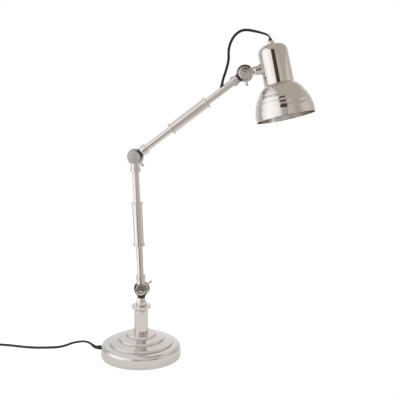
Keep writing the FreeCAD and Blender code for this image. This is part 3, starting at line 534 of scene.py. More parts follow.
def metres(x: float, y: float, z: float) -> Point:
    """A place in metres from its millimetres."""
    return (x * MM, y * MM, z * MM)


# ---------------------------------------------------------------- resting pose

@dataclass(frozen=True)
class Pose:
    """The frames of the resting pose, from the same angles and lengths as the solids."""

    pivot_height: float = 140.5
    arm_length: float = 272.0
    lower_lean: float = -3.0
    upper_lean: float = 52.0
    neck_lean: float = 76.8
    neck_reach: float = 60.3
    shade_roll: float = 6.9

    def beyond(self, start: Matrix, reach: float, degrees: float) -> Matrix:
        """The frame at a distance along another one, leaning by its own angle."""
        place = start @ Vector((0, 0, reach * MM)) / MM
        return lean(place.x, place.z, degrees)

    @property
    def lower(self) -> Matrix:
        """At the lower knuckle, along the lower arm."""
        return lean(0, self.pivot_height, self.lower_lean)

    @property
    def elbow_back(self) -> Matrix:
        """At the elbow, back along the lower arm."""
        return self.beyond(self.lower, self.arm_length, self.lower_lean + 180)

    @property
    def upper(self) -> Matrix:
        """At the elbow, along the upper arm."""
        return self.beyond(self.lower, self.arm_length, self.upper_lean)

    @property
    def head(self) -> Matrix:
        """At the head's knuckle, along its neck."""
        return self.beyond(self.upper, self.arm_length, self.neck_lean)

    @property
    def shade(self) -> Matrix:
        """At the middle of the cap, along the shade's axis."""
        upright = self.beyond(self.head, self.neck_reach, self.neck_lean - 90)
        return upright @ Matrix.Rotation(math.radians(-self.shade_roll), 4, "X")

    def turned(self, joint: Matrix, degrees: float) -> Matrix:
        """A frame at a joint that leans by its own angle."""
        return self.beyond(joint, 0, degrees)


POSE = Pose()


# ---------------------------------------------------------------- studio

# Black cloth in warm light, as linear colour.
BLACK_CLOTH: Point = (0.09, 0.062, 0.046)


@dataclass(frozen=True)
class Card:
    """An evenly lit card hung near the head, which only the nickel sees."""

    name: str
    middle: Point
    half: tuple[float, float]
    colour: Point
    upright: bool = False

    def hang(self) -> None:
        """Make the card, level or upright, and keep it out of the view."""
        material, tree, shader = new_material(self.name)
        wire(tree, shader, {
            "Base Color": (0, 0, 0, 1), "Emission Color": (*self.colour, 1),
            "Emission Strength": 1.0, "Specular IOR Level": 0.0})
        turn = math.radians(90) if self.upright else 0.0
        bpy.ops.object.select_all(action="DESELECT")
        bpy.ops.mesh.primitive_grid_add(size=2, location=self.middle, rotation=(turn, 0, 0))
        card = bpy.context.object
        card.name = self.name
        card.scale = (*self.half, 1)
        card.data.materials.append(material)
        card.visible_camera = False
        card.visible_diffuse = False
        card.visible_shadow = False


@dataclass
class Studio:
    """Camera, pale floor and the light tent whose walls the nickel reflects.

    The tent's ramps run once round the lamp: 0 and 1 lie behind it, 0.25 at its left, 0.5 at
    the camera and 0.75 at its right. Only gap_depth runs upwards, from nadir to zenith.
    """

    camera_place: Point = (0.1961, -1.2596, 0.5172)
    camera_forward: Point = (-0.0616, 0.9872, -0.1474)
    camera_roll: float = math.radians(1.03)
    focal_length: float = 57.39
    floor_radius: float = 0.62
    floor_middle: Point = (-0.05, 0.17, -0.0002)
    paper_colour: Point = (0.86, 0.855, 0.85)
    paper_glow: float = 0.17
    paper_fill: float = 0.62
    walls: Ramp = (
        (0.0, 0.95), (0.10, 0.80), (0.19, 0.55), (0.225, 1.10), (0.30, 1.45), (0.37, 1.35),
        (0.43, 1.10), (0.52, 0.68), (0.57, 0.70), (0.625, 0.46), (0.72, 0.84), (0.80, 0.74),
        (0.86, 0.62), (1.0, 0.95))
    warmth: Ramp = ((0.49, 0.0), (0.53, 1.0), (0.82, 1.0), (0.92, 0.0))
    warm_tint: Point = (1.0, 0.93, 0.85)
    gap: Ramp = ((0.0, 0.0), (0.444, 0.0), (0.450, 1.0), (0.512, 1.0), (0.519, 0.0), (1.0, 0.0))
    gap_depth: Ramp = ((0.38, 0.95), (0.445, 0.35), (0.60, 0.42), (0.875, 0.42), (0.9, 0.0))
    roof_level: float = 0.88
    roof_foot: float = 0.45
    roof_edge: float = 0.75
    cards: tuple[Card, ...] = (
        Card("grey_card", middle=(0.405, -0.10, 0.80), half=(0.315, 0.35),
             colour=(0.57, 0.52, 0.46)),
        Card("black_card", middle=(0.2275, -0.26, 0.6575), half=(0.0625, 0.0575),
             colour=BLACK_CLOTH, upright=True))

    def add_camera(self) -> None:
        """Set the camera up with a plain pinhole and no shift."""
        data = bpy.data.cameras.new("camera")
        data.lens = self.focal_length
        data.sensor_width = 36
        data.clip_start = 0.01
        camera = link_new("camera", data)
        aim = Vector(self.camera_forward).to_track_quat("-Z", "Y")
        camera.rotation_mode = "QUATERNION"
        camera.rotation_quaternion = aim @ Quaternion(Z_AXIS, self.camera_roll)
        camera.location = self.camera_place
        bpy.context.scene.camera = camera

    def paper(self) -> bpy.types.Material:
        """Matt background paper, with fill light of its own so that it shows white.

        Returns:
            The paper's material.
        """
        material, tree, shader = new_material("background paper")
        seen = add_node(tree, "ShaderNodeLightPath").outputs["Is Camera Ray"]
        glow = add_node(tree, "ShaderNodeMapRange", {
            "Value": seen, "To Min": self.paper_glow, "To Max": self.paper_fill})
        wire(tree, shader, {
            "Base Color": (*self.paper_colour, 1), "Roughness": 1.0, "Specular IOR Level": 0.0,
            "Emission Color": (1, 1, 1, 1), "Emission Strength": glow.outputs["Result"]})
        return material

    def add_floor(self) -> None:
        """Lay the round of paper that the lamp stands on."""
        bpy.ops.object.select_all(action="DESELECT")
        bpy.ops.mesh.primitive_circle_add(vertices=96, radius=self.floor_radius,
                                          fill_type="NGON", location=self.floor_middle)
        floor = bpy.context.object
        floor.name = "floor"
        floor.data.materials.append(self.paper())

    def add_world(self) -> None:
        """Put up the tent: bright left wall, greyer walls, a pale roof and a dim gap in front."""
        world = bpy.data.worlds.new("light tent")
        bpy.context.scene.world = world
        world.use_nodes = True
        tree = world.node_tree
        tree.nodes.clear()
        way = add_node(tree, "ShaderNodeTexCoord").outputs["Generated"]
        parts = add_node(tree, "ShaderNodeSeparateXYZ", {0: way})
        front = add_node(tree, "ShaderNodeMath", {0: parts.outputs["Y"], 1: -1.0},
                         operation="MULTIPLY")
        bearing = add_node(tree, "ShaderNodeMath", {
            0: parts.outputs["X"], 1: front.outputs[0]}, operation="ARCTAN2")
        once_round = add_node(tree, "ShaderNodeMapRange", {
            "Value": bearing.outputs[0], "From Min": -math.pi, "From Max": math.pi})
        upwards = add_node(tree, "ShaderNodeMapRange", {
            "Value": parts.outputs["Z"], "From Min": -1.0, "From Max": 1.0})
        colours = []
        for source, stops in ((once_round, self.walls), (once_round, self.warmth),
                              (once_round, self.gap), (upwards, self.gap_depth)):
            ramp = add_node(tree, "ShaderNodeValToRGB", {"Fac": source.outputs["Result"]})
            set_ramp(ramp, stops)
            colours.append(ramp.outputs["Color"])
        walls, warmth, gap, gap_depth = colours
        warmed = add_node(tree, "ShaderNodeMix", {
            "Factor": warmth, "A": walls, "B": (*self.warm_tint, 1)},
            data_type="RGBA", blend_type="MULTIPLY")
        depth = add_node(tree, "ShaderNodeMath", {0: gap, 1: gap_depth}, operation="MULTIPLY")
        gapped = add_node(tree, "ShaderNodeMix", {
            "Factor": depth.outputs[0], "A": warmed.outputs["Result"], "B": (*BLACK_CLOTH, 1)},
            data_type="RGBA")
        under_roof = add_node(tree, "ShaderNodeMapRange", {
            "Value": parts.outputs["Z"], "From Min": self.roof_foot, "From Max": self.roof_edge})
        sky = add_node(tree, "ShaderNodeMix", {
            "Factor": under_roof.outputs["Result"], "A": gapped.outputs["Result"],
            "B": (self.roof_level, self.roof_level, self.roof_level, 1)}, data_type="RGBA")
        seen = add_node(tree, "ShaderNodeLightPath").outputs["Is Camera Ray"]
        shown = add_node(tree, "ShaderNodeMix", {
            "Factor": seen, "A": sky.outputs["Result"], "B": (1, 1, 1, 1)}, data_type="RGBA")
        lit = add_node(tree, "ShaderNodeBackground", {"Color": shown.outputs["Result"]})
        add_node(tree, "ShaderNodeOutputWorld", {"Surface": lit.outputs[0]})
        bpy.context.scene.view_settings.view_transform = "Standard"

    def build(self) -> None:
        """Set up everything that isn't the lamp."""
        self.add_camera()
        self.add_floor()
        for card in self.cards:
            card.hang()
        self.add_world()


# ---------------------------------------------------------------- base and post

@dataclass
class SteppedBase:
    """Spun cover with three tiers, and the grommet that its cord leaves through."""

    radius: float = 82.5
    foot: float = 0.8
    wall_top: float = 17.0
    shoulder: float = 10.0
    tiers: tuple[tuple[float, float], ...] = ((66.5, 28.0), (48.0, 36.0), (31.0, 44.0))
    rise: float = 4.4
    tier_edge: float = 1.5
    groove: float = 0.5
    top: float = 50.0
    post: float = 14.75
    hole: float = 5.0
    wall: float = 1.5
    exit_height: float = 14.0
    exit_turn: float = 184.0
    grommet_neck: float = 4.0
    grommet_flare: float = 2.2
    grommet_lip: float = 5.5
    grommet_widest: float = 4.5
    grommet_face: float = 4.9
    grommet_length: float = 6.0

    def skin(self) -> Outline:
        """The cover's outer side from the top of its wall to the post.

        Returns:
            Its corners from the outside in.
        """
        ledge = self.wall_top + self.shoulder
        found = arc((self.radius, self.wall_top), (self.radius - self.shoulder, ledge),
                    self.shoulder, LEFT, steps=12)
        for radius, foot in self.tiers:
            edge_top = foot + self.rise
            found += [(radius + self.groove, foot), (radius + self.groove / 2, foot - self.groove),
                      (radius, foot)]
            found += arc((radius, edge_top - self.tier_edge), (radius - self.tier_edge, edge_top),
                         self.tier_edge, LEFT, steps=5)
        return found + [(self.post, self.top)]

    def add_cover(self, dresser: Dresser) -> None:
        """Spin the cover with its even wall.

        Args:
            dresser: Gives the piece its finish, body and slot.
        """
        outer = self.skin()
        inner = [(radius - self.wall, height - self.wall) for radius, height in outer]
        outline = [(self.radius, self.foot)] + outer
        outline += [(self.hole, self.top), (self.hole, self.top - self.wall)] + inner[::-1]
        outline.append((self.radius - self.wall, self.foot))
        cover = lathe("spun_cover", outline, Matrix.Identity(4), around=144, edge=0.25)
        dresser.stand_in(cover, "base_cover")

    def add_grommet(self, dresser: Dresser) -> None:
        """Press the grommet into the wall where the cord leaves.

        Args:
            dresser: Gives the piece its finish, body and slot.
        """
        way_out = (Matrix.Rotation(math.radians(self.exit_turn), 4, "Z")
                   @ Matrix.Translation(metres(self.radius - self.wall, 0, self.exit_height))
                   @ ALONG_X)
        outline = [(0, 0), (self.grommet_neck, 0), (self.grommet_neck, self.grommet_flare),
                   (self.grommet_lip, self.grommet_widest),
                   (self.grommet_face, self.grommet_length), (0, self.grommet_length)]
        grommet = lathe("cord_grommet", outline, way_out, closed=False, edge=0.3)
        dresser.stand_in(grommet, "base_grommet")

    def build(self, dresser: Dresser) -> None:
        """Make both pieces."""
        self.add_cover(dresser)
        self.add_grommet(dresser)


@dataclass
class Post:
    """Post tube and the flared collar that the stem turns on."""

    radius: float = 14.75
    wall: float = 1.5
    foot: float = 50.0
    top: float = 94.5
    collar: float = 20.0
    collar_top: float = 107.5
    band: float = 6.0
    flare: float = 5.6
    bead: float = 1.2
    bore: float = 9.05
    ledge: float = 10.0
    spigot: float = 6.0

    def build(self, dresser: Dresser) -> None:
        """Turn the two pieces.

        Args:
            dresser: Gives the pieces their finish, body and slot.
        """
        inside = self.radius - self.wall
        outline = [(self.radius, self.foot), (self.radius, self.top), (inside, self.top),
                   (inside, self.foot)]
        tube = lathe("post_shell", outline, Matrix.Identity(4), around=96)
        dresser.stand_in(tube, "post_tube")
        outline = [(self.bore, self.collar_top)]
        outline += arc((self.collar - self.bead, self.collar_top),
                       (self.collar, self.collar_top - self.bead), self.bead, RIGHT, steps=5)
        outline += arc((self.collar, self.collar_top - self.band), (self.radius, self.top),
                       self.flare, LEFT, steps=12)
        outline += [(inside, self.top), (inside, self.top - self.spigot),
                    (inside - self.bead, self.top - self.spigot),
                    (inside - self.bead, self.collar_top - self.ledge),
                    (self.bore, self.collar_top - self.ledge)]
        collar = lathe("flared_collar", outline, Matrix.Identity(4), around=96, edge=0.2)
        dresser.stand_in(collar, "post_collar")


# ---------------------------------------------------------------- knuckles

@dataclass
class Knuckle:
    """Clamp knuckle: hub and eye as cast, black washer, bolt, domed ring and lever."""

    name: str
    place: Matrix
    lever_turn: float
    eye: str
    washer: str
    # Whether black rings of painted shade fill the dark gaps round the domed ring and the bolt's
    # head.
    has_shade_rings: bool = False
    seat: float = 7.0
    bolt: float = 3.0
    bolt_end: float = 15.0
    head: float = 5.2
    head_height: float = 2.3
    head_edge: float = 0.6
    bore: float = 6.8
    bore_edge: float = 0.4
    rim: float = 11.1
    rim_height: float = 2.8
    dome: float = 1.6
    # The painted-shade rings: how far they lap over, the outer one's width, and how far forward
    # they stand.
    shade_ring_lap: float = 0.3
    shade_ring_width: float = 1.5
    shade_ring_front: float = 9.25
    boss: float = 7.5
    boss_foot: float = 10.8
    boss_top: float = 17.0
    boss_edge: float = 0.8
    arm_root: float = 3.1
    arm_tip: float = 2.2
    ball: float = 3.1
    reach: float = 22.0

    def add_front(self, dresser: Dresser) -> None:
        """Turn the bolt and the domed ring about the pivot.

        Args:
            dresser: Gives the pieces their finish, body and slot.
        """
        axis = self.place @ ALONG_Y
        front = self.seat + self.head_height
        outline = [(0, -front)]
        outline += arc((self.head - self.head_edge, -front), (self.head, self.head_edge - front),
                       self.head_edge, LEFT, steps=4)
        outline += [(self.head, -self.seat), (self.bolt, -self.seat),
                    (self.bolt, self.bolt_end), (0, self.bolt_end)]
        bolt = lathe(self.name + "_bolt", outline, axis, closed=False)
        dresser.stand_in(bolt, self.name + "_pivot_bolt")
        front = self.seat + self.rim_height
        outline = [(self.bore, -self.seat)]
        outline += arc((self.bore, self.bore_edge - front), (self.bore + self.bore_edge, -front),
                       self.bore_edge, RIGHT, steps=4)
        outline += arc((self.rim - self.dome, -front), (self.rim, self.dome - front),
                       self.dome, LEFT, steps=8)
        outline.append((self.rim, -self.seat))
        ring = lathe(self.name + "_cap_ring", outline, axis, around=64)
        dresser.stand_in(ring, self.name + "_hub_cap")

    def add_lever(self, dresser: Dresser) -> None:
        """Turn the lever's knob and arm, and join them.

        Args:
            dresser: Gives the lever its finish, body and slot.
        """
        place = POSE.turned(self.place, self.lever_turn)
        outline = [(self.bolt, self.boss_foot), (self.boss - self.boss_edge, self.boss_foot)]
        outline += arc((self.boss, self.boss_top - self.boss_edge),
                       (self.boss - self.boss_edge, self.boss_top), self.boss_edge, LEFT, steps=5)
        outline.append((0, self.boss_top))
        knob = lathe(self.name + "_clamp", outline, place @ ALONG_Y, closed=False)
        middle = Matrix.Translation((0, (self.boss_foot + self.boss_top) / 2 * MM, 0))
        neck = self.reach - math.sqrt(self.ball ** 2 - self.arm_tip ** 2)
        outline = [(0, 0), (self.arm_root, 0), (self.arm_tip, neck)]
        outline += arc((self.arm_tip, neck), (self.ball, self.reach), self.ball, LEFT,
                       steps=4)[1:]
        outline += arc((self.ball, self.reach), (0, self.reach + self.ball), self.ball, LEFT,
                       steps=8)[1:]
        arm = lathe(self.name + "_arm", outline, place @ middle, closed=False, around=32)
        join(knob, arm)
        dresser.stand_in(knob, self.name + "_lever")

    def add_shade_rings(self, dresser: Dresser) -> None:
        """Turn the two black rings that paint the shade in the gaps, one round the domed ring and
        one round the bolt's head.

        Args:
            dresser: Gives the rings their finish, body and slot.
        """
        axis = self.place @ ALONG_Y
        # Painted shade: these gaps fall dark, so black nylon rings are put in them.
        rings = (
            ("outer_seal", self.rim - self.shade_ring_lap, self.rim + self.shade_ring_width, self.shade_ring_front),
            ("inner_seal", self.head, self.bore, self.seat + self.shade_ring_lap))
        for name, inner, outer, front in rings:
            outline = [(inner, -self.seat), (inner, -front), (outer, -front),
                       (outer, -self.seat)]
            ring = lathe("%s_%s" % (self.name, name), outline, axis, around=64, edge=0.1)
            dresser.add(ring, Slot.PLASTIC, dresser.bodies[self.name + "_hub_cap"])

    def build(self, dresser: Dresser) -> None:
        """Make everything that the knuckle shows.

        Args:
            dresser: Gives the pieces their finish, body and slot.
        """
        for node in (self.name + "_knuckle", self.eye, self.washer):
            dresser.stand_in(smooth_copy(node, node + "_finished"), node)
        self.add_front(dresser)
        self.add_lever(dresser)
        if self.has_shade_rings:
            self.add_shade_rings(dresser)


# ---------------------------------------------------------------- arms

@dataclass
class SwingArm:
    """One arm: tube, a ferrule at each end, and a sleeve between two beaded rings."""

    name: str
    place: Matrix
    seat: float
    length: float = 272.0
    neck: float = 21.5
    tube: float = 6.8
    wall: float = 1.4
    ferrule: float = 10.2
    ferrule_length: float = 8.8
    ferrule_edge: float = 0.8
    ring: float = 11.8
    ring_width: float = 5.0
    ring_edge: float = 1.2
    sleeve: float = 10.0
    sleeve_length: float = 90.5

    def band(self, name: str, foot: float, top: float, radius: float,
             bead: float) -> bpy.types.Object:
        """A ring round the tube with rounded edges.

        Args:
            name: The piece's name.
            foot: Where it starts along the arm.
            top: Where it ends along the arm.
            radius: Its outer radius.
            bead: The radius of its edges, or 0 where they are square.

        Returns:
            The ring.
        """
        outline = [(self.tube, foot)]
        if bead:
            outline += arc((radius - bead, foot), (radius, foot + bead), bead, LEFT, steps=5)
            outline += arc((radius, top - bead), (radius - bead, top), bead, LEFT, steps=5)
        else:
            outline += [(radius, foot), (radius, top)]
        outline.append((self.tube, top))
        return lathe(name, outline, self.place, around=64)

    def build(self, dresser: Dresser) -> None:
        """Turn the arm's pieces along its own frame.

        Args:
            dresser: Gives the pieces their finish, body and slot.
        """
        start = self.neck - self.seat
        stop = self.length - start
        inside = self.tube - self.wall
        outline = [(inside, start), (self.tube, start), (self.tube, stop), (inside, stop)]
        tube = lathe(self.name + "_rod", outline, self.place, around=64)
        dresser.stand_in(tube, self.name + "_tube")
        low = (self.length - self.sleeve_length) / 2
        high = low + self.sleeve_length
        last = self.length - self.neck
        bands = (
            ("foot_ferrule", self.neck, self.neck + self.ferrule_length, self.ferrule,
             self.ferrule_edge),
            ("head_ferrule", last - self.ferrule_length, last, self.ferrule, self.ferrule_edge),
            ("lower_ring", low, low + self.ring_width, self.ring, self.ring_edge),
            ("upper_ring", high - self.ring_width, high, self.ring, self.ring_edge),
            ("sleeve", low + self.ring_width, high - self.ring_width, self.sleeve, 0))
        for part, foot, top, radius, bead in bands:
            node = "%s_%s" % (self.name, part)
            dresser.stand_in(self.band(node + "_turned", foot, top, radius, bead), node)


# ---------------------------------------------------------------- head

@dataclass
class Gland:
    """Turned gland on the cap, and the rubber bush in it."""

    spigot: float = 5.0
    foot: float = 33.0
    seat: float = 42.6
    flange: float = 6.8
    dome_foot: float = 47.2
    dome: float = 5.0
    face: float = 4.6
    top: float = 50.2
    bush_root: float = 4.0
    bush_waist: float = 3.5
    bush_tip: float = 3.0
    bush_taper: float = 53.6
    bush_top: float = 54.6

    def build(self, place: Matrix, dresser: Dresser) -> None:
        """Turn both pieces in the shade's frame.

        Args:
            place: The shade's frame.
            dresser: Gives the pieces their finish, body and slot.
        """
        outline = [(0, self.foot), (self.spigot, self.foot), (self.spigot, self.seat),
                   (self.flange, self.seat)]
        outline += arc((self.flange, self.dome_foot), (self.face, self.top), self.dome, LEFT,
                       steps=8)
        outline.append((0, self.top))
        gland = lathe("turned_gland", outline, place, closed=False, edge=0.15)
        dresser.stand_in(gland, "cord_gland")
        outline = [(0, self.top), (self.bush_root, self.top), (self.bush_waist, self.bush_taper),
                   (self.bush_tip, self.bush_top), (0, self.bush_top)]
        bush = lathe("rubber_bush", outline, place, closed=False, edge=0.2)
        dresser.stand_in(bush, "gland_bush")


@dataclass
class Lamp:
    """Screw lampholder with its ring, and the opal lamp in it. Drops are below the middle."""

    bore: float = 5.0
    bore_foot: float = 33.0
    top: float = 41.6
    flat: float = 6.0
    cone: float = 16.5
    cone_foot: float = 33.6
    holder: float = 18.5
    holder_top: float = 31.6
    holder_drop: float = 6.0
    socket: float = 13.5
    socket_top: float = 16.0
    ring: float = 20.0
    ring_top: float = 3.0
    globe: float = 28.0
    globe_drop: float = 58.0
    neck: float = 13.2
    neck_drop: float = 15.0
    neck_top: float = 9.0
    waist: float = 70.0
    glass: float = 0.8

    def add_holder(self, place: Matrix, dresser: Dresser) -> None:
        """Turn the holder and the ring that holds the shade to it.

        Args:
            place: The shade's frame.
            dresser: Gives the pieces their finish, body and slot.
        """
        outline = [(0, self.bore_foot), (self.bore, self.bore_foot), (self.bore, self.top),
                   (self.flat, self.top), (self.cone, self.cone_foot),
                   (self.holder, self.holder_top), (self.holder, -self.holder_drop),
                   (self.socket, -self.holder_drop), (self.socket, self.socket_top),
                   (0, self.socket_top)]
        holder = lathe("screw_holder", outline, place, closed=False, edge=0.3)
        dresser.stand_in(holder, "lampholder")
        outline = [(self.holder, -self.holder_drop), (self.ring, -self.holder_drop),
                   (self.ring, self.ring_top), (self.holder, self.ring_top)]
        ring = lathe("holder_nut", outline, place, edge=0.4)
        dresser.stand_in(ring, "holder_ring")

    def add_glass(self, place: Matrix, dresser: Dresser) -> None:
        """Turn the lamp's thin glass, up its inside and down its outside.

        Args:
            place: The shade's frame.
            dresser: Gives the glass its finish, body and slot.
        """
        hollow = self.globe - self.glass
        inner_neck = self.neck - self.glass
        low = -self.globe_drop
        outline = arc((0, low - hollow), (hollow, low), hollow, LEFT, steps=16)
        outline += arc((hollow, low), (inner_neck, -self.neck_drop), self.waist, RIGHT,
                       steps=12)[1:]
        outline += [(inner_neck, -self.neck_top), (self.neck, -self.neck_top)]
        outline += arc((self.neck, -self.neck_drop), (self.globe, low), self.waist, LEFT,
                       steps=12)
        outline += arc((self.globe, low), (0, low - self.globe), self.globe, RIGHT,
                       steps=16)[1:]
        glass = lathe("opal_lamp", outline, place, closed=False, around=64)
        dresser.stand_in(glass, "bulb_glass")

    def build(self, place: Matrix, dresser: Dresser) -> None:
        """Make the three pieces in the shade's frame."""
        self.add_holder(place, dresser)
        self.add_glass(place, dresser)


@dataclass
class Head:
    """Spun shade with its gland, saddle, lampholder and opal lamp."""

    place: Matrix
    wall: float = 1.0
    top: float = 42.6
    flat: float = 7.5
    crown: float = 13.5
    crown_drop: float = 1.0
    cap: float = 29.0
    shoulder: float = 14.5
    shoulder_curve: float = 16.0
    crease: float = 35.0
    bell: tuple[tuple[float, float], ...] = ((54.9, 78.7), (51.7, 67.7), (46.3, 56.7))
    step: float = 0.9
    bell_curve: float = 42.0
    band_curve: float = 20.0
    mouth: tuple[float, float] = (57.5, 88.0)
    mouth_curve: float = 120.0
    mouth_turn: float = 40.0
    rim: float = 57.5
    rim_drop: float = 100.2
    hole: float = 5.0

    def skin(self) -> Outline:
        """The shade's outer side, from the rim up to the flat on top.

        Returns:
            Its corners in that order.
        """
        radius, drop = self.mouth
        start = (radius, -drop)
        curve = self.mouth_turn
        found = arc((self.rim, -self.rim_drop), start, self.mouth_curve, LEFT, steps=5)[:-1]
        for radius, drop in self.bell:
            found += arc(start, (radius + self.step, -drop), curve, LEFT, steps=8)
            start = (radius, -drop)
            curve = self.band_curve
        found += arc(start, (self.cap, -self.crease), self.bell_curve, LEFT, steps=14)
        found += arc((self.cap, self.top - self.shoulder),
                     (self.crown, self.top - self.crown_drop), self.shoulder_curve, LEFT,
                     steps=16)
        return found + [(self.flat, self.top)]

    def add_shade(self, dresser: Dresser) -> None:
        """Spin the shade with its thin wall.

        Args:
            dresser: Gives the shade its finish, body and slot.
        """
        outer = self.skin()
        inner = [(radius - self.wall, height - self.wall) for radius, height in outer]
        inner[0] = (self.rim - self.wall, -self.rim_drop)
        outline = outer + [(self.hole, self.top), (self.hole, self.top - self.wall)]
        shade = lathe("spun_shade", outline + inner[::-1], self.place, around=160)
        dresser.stand_in(shade, "shade")

    def build(self, dresser: Dresser) -> None:
        """Make the head's pieces.

        Args:
            dresser: Gives the pieces their finish, body and slot.
        """
        self.add_shade(dresser)
        Gland().build(self.place, dresser)
        Lamp().build(self.place, dresser)
        dresser.stand_in(smooth_copy("neck_saddle", "saddle_ring"), "neck_saddle")


# ---------------------------------------------------------------- cords

@dataclass
class Route:
    """A cord's line: a quadratic NURBS spline over its points."""

    name: str
    points: list[Point]
    tilts: list[float] = field(default_factory=list)
    steps: int = 8

    def spline(self) -> bpy.types.Curve:
        """Make curve data with one open spline over the route's points.

        Returns:
            The curve data, still without thickness.
        """
        data = bpy.data.curves.new(self.name, "CURVE")
        data.dimensions = "3D"
        data.resolution_u = self.steps
        spline = data.splines.new("NURBS")
        spline.points.add(len(self.points) - 1)
        for index, place in enumerate(self.points):
            spline.points[index].co = (*place, 1.0)
            if self.tilts:
                spline.points[index].tilt = self.tilts[index]
        spline.order_u = 3
        spline.use_endpoint_u = True
        return data

    def line(self) -> list[Vector]:
        """Points along the spline, as Blender evaluates it.

        Returns:
            The places from its start to its end, in metres.
        """
        bare = link_new(self.name + "_line", self.spline())
        graph = bpy.context.evaluated_depsgraph_get()
        mesh = bpy.data.meshes.new_from_object(bare.evaluated_get(graph))
        places = [vertex.co.copy() for vertex in mesh.vertices]
        bpy.data.objects.remove(bare)
        bpy.data.meshes.remove(mesh)
        return places

    def length(self) -> float:
        """The length of the spline."""
        places = self.line()
        return sum((b - a).length for a, b in zip(places, places[1:]))

    def places_at(self, distances: list[float]) -> list[Vector]:
        """The places at distances along the spline.

        Args:
            distances: Metres from the spline's start, each short of its end.

        Returns:
            A place for each distance.
        """
        line = self.line()
        found = []
        for left in distances:
            for before, after in zip(line, line[1:]):
                run = (after - before).length
                if left <= run:
                    found.append(before.lerp(after, left / run))
                    break
                left -= run
        return found

    def round_cord(self, radius: float) -> bpy.types.Object:
        """A curve object along the route, with round section and closed ends.

        Args:
            radius: The cord's radius, in metres.

        Returns:
            The cord.
        """
        data = self.spline()
        data.bevel_depth = radius
        data.bevel_resolution = 4
        data.use_fill_caps = True
        return link_new(self.name, data)


@dataclass
class StrainRelief:
    """Tapered, ribbed rubber sleeve on the cord where it leaves a housing.

    land_stop, groove_start and groove_stop are shares of one rib's length.
    """

    name: str
    route: Route
    length: float = 21.0
    start: float = 0.01
    root: float = 4.2
    tip: float = 2.9
    rib: float = 3.0
    land_stop: float = 0.62
    groove_start: float = 0.7
    groove_stop: float = 0.92
    groove: float = 0.55

    def build(self, dresser: Dresser, body: str) -> None:
        """Make the sleeve along the first stretch of the cord's own line.

        Args:
            dresser: Gives the sleeve its finish, body and slot.
            body: The body that it rides on.
        """
        turns = ((0.0, 0.0), (self.land_stop, 0.0), (self.groove_start, self.groove),
                 (self.groove_stop, self.groove))
        stops = [((rib + share) * self.rib, sunk)
                 for rib in range(round(self.length / self.rib)) for share, sunk in turns]
        places = self.route.places_at([max(reach, self.start) * MM for reach, sunk in stops])
        data = bpy.data.curves.new(self.name, "CURVE")
        data.dimensions = "3D"
        data.bevel_depth = MM
        data.bevel_resolution = 6
        data.use_fill_caps = True
        spline = data.splines.new("POLY")
        spline.points.add(len(stops) - 1)
        for point, place, (reach, sunk) in zip(spline.points, places, stops):
            point.co = (*place, 1.0)
            point.radius = self.root + (self.tip - self.root) * reach / self.length - sunk
        sleeve = link_new(self.name, data)
        select_only(sleeve)
        bpy.ops.object.convert(target="MESH")
        polish(sleeve, 0, CORD_SMOOTH)
        dresser.add(sleeve, Slot.RUBBER, body)


@dataclass
class MainsLead:
    """The lead on the table: base to in-line switch, then a neat coil and the plug."""

    radius: float = 2.5 * MM
    low: float = 2.6
    coil_middle: tuple[float, float] = (-440.0, -12.0)
    columns: tuple[float, float, float] = (30.0, 25.0, 20.0)
    layer: float = 4.75
    swell: float = 1.015
    coil_start: float = math.radians(62)
    steps_per_turn: int = 12
    steps_to_cross: int = 4

    def first_points(self) -> list[Point]:
        """The run from the base to the switch.

        Returns:
            Its points, in metres.
        """
        raised = [(-86.788, -6.069, 14), (-95.5, -5.2, 12.4), (-108, 6, 17.8),
                  (-124, 18.5, 16.4), (-136.7, 32, 10), (-152.7, 34.2, 6)]
        flat = [(-165, 28.3), (-178, 13.7), (-212.6, 7.5), (-228, 6), (-256, 8), (-292, 15),
                (-326, 15)]
        return [metres(*place) for place in raised] + [metres(x, y, self.low) for x, y in flat]

    def coil_points(self) -> list[Point]:
        """Nine turns: inwards on the table, up the inner column, then out to the top edge.

        Returns:
            Their points, in metres.
        """
        outer, middle, inner = self.columns
        slots = [(outer, 0), (middle, 0), (inner, 0), (inner, 1), (inner, 2), (middle, 2),
                 (middle, 1), (outer, 1), (outer, 2)]
        found = []
        for turn, (radius, row) in enumerate(slots):
            following = slots[min(turn + 1, len(slots) - 1)]
            for step in range(self.steps_per_turn):
                crossed = step - self.steps_per_turn + self.steps_to_cross
                share = max(0.0, crossed / self.steps_to_cross)
                reach = (radius + (following[0] - radius) * share) * self.swell
                height = self.low + (row + (following[1] - row) * share) * self.layer
                angle = self.coil_start + FULL_TURN * (turn + step / self.steps_per_turn)
                found.append(metres(self.coil_middle[0] + reach * math.cos(angle),
                                    self.coil_middle[1] + reach * math.sin(angle), height))
        return found

    def second_points(self) -> list[Point]:
        """The run from the switch round the coil to the plug.

        Returns:
            Its points, in metres.
        """
        enter = [(-388, 15), (-399, 15), (-412, 16.4)]
        leave = [(-444, 19.5, 12.0), (-457.5, 11.5, 11.9), (-467.4, 2.3, 11.7),
                 (-478.5, -4, 9.35), (-486.34, -8.5, 7), (-495, -13.5, 7)]
        before = [metres(x, y, self.low) for x, y in enter]
        return before + self.coil_points() + [metres(*place) for place in leave]

    def build(self, dresser: Dresser) -> None:
        """Lay the lead with its strain relief and log its lengths.

        Args:
            dresser: Gives the pieces their finish, body and slot.
        """
        first = Route("lead_to_switch", self.first_points())
        cord = first.round_cord(self.radius)
        dresser.stand_in(cord, "base_cord")
        first.length()
        StrainRelief("base_strain_relief", first).build(dresser, "base")
        second = Route("lead_to_plug", self.second_points(), steps=5)
        cord = second.round_cord(self.radius)
        dresser.stand_in(cord, "switch_cord", "cord_coil", "plug_cord")
        second.length()
        LOG.info("mains lead: %.3f m and %.3f m", first.length(), second.length())


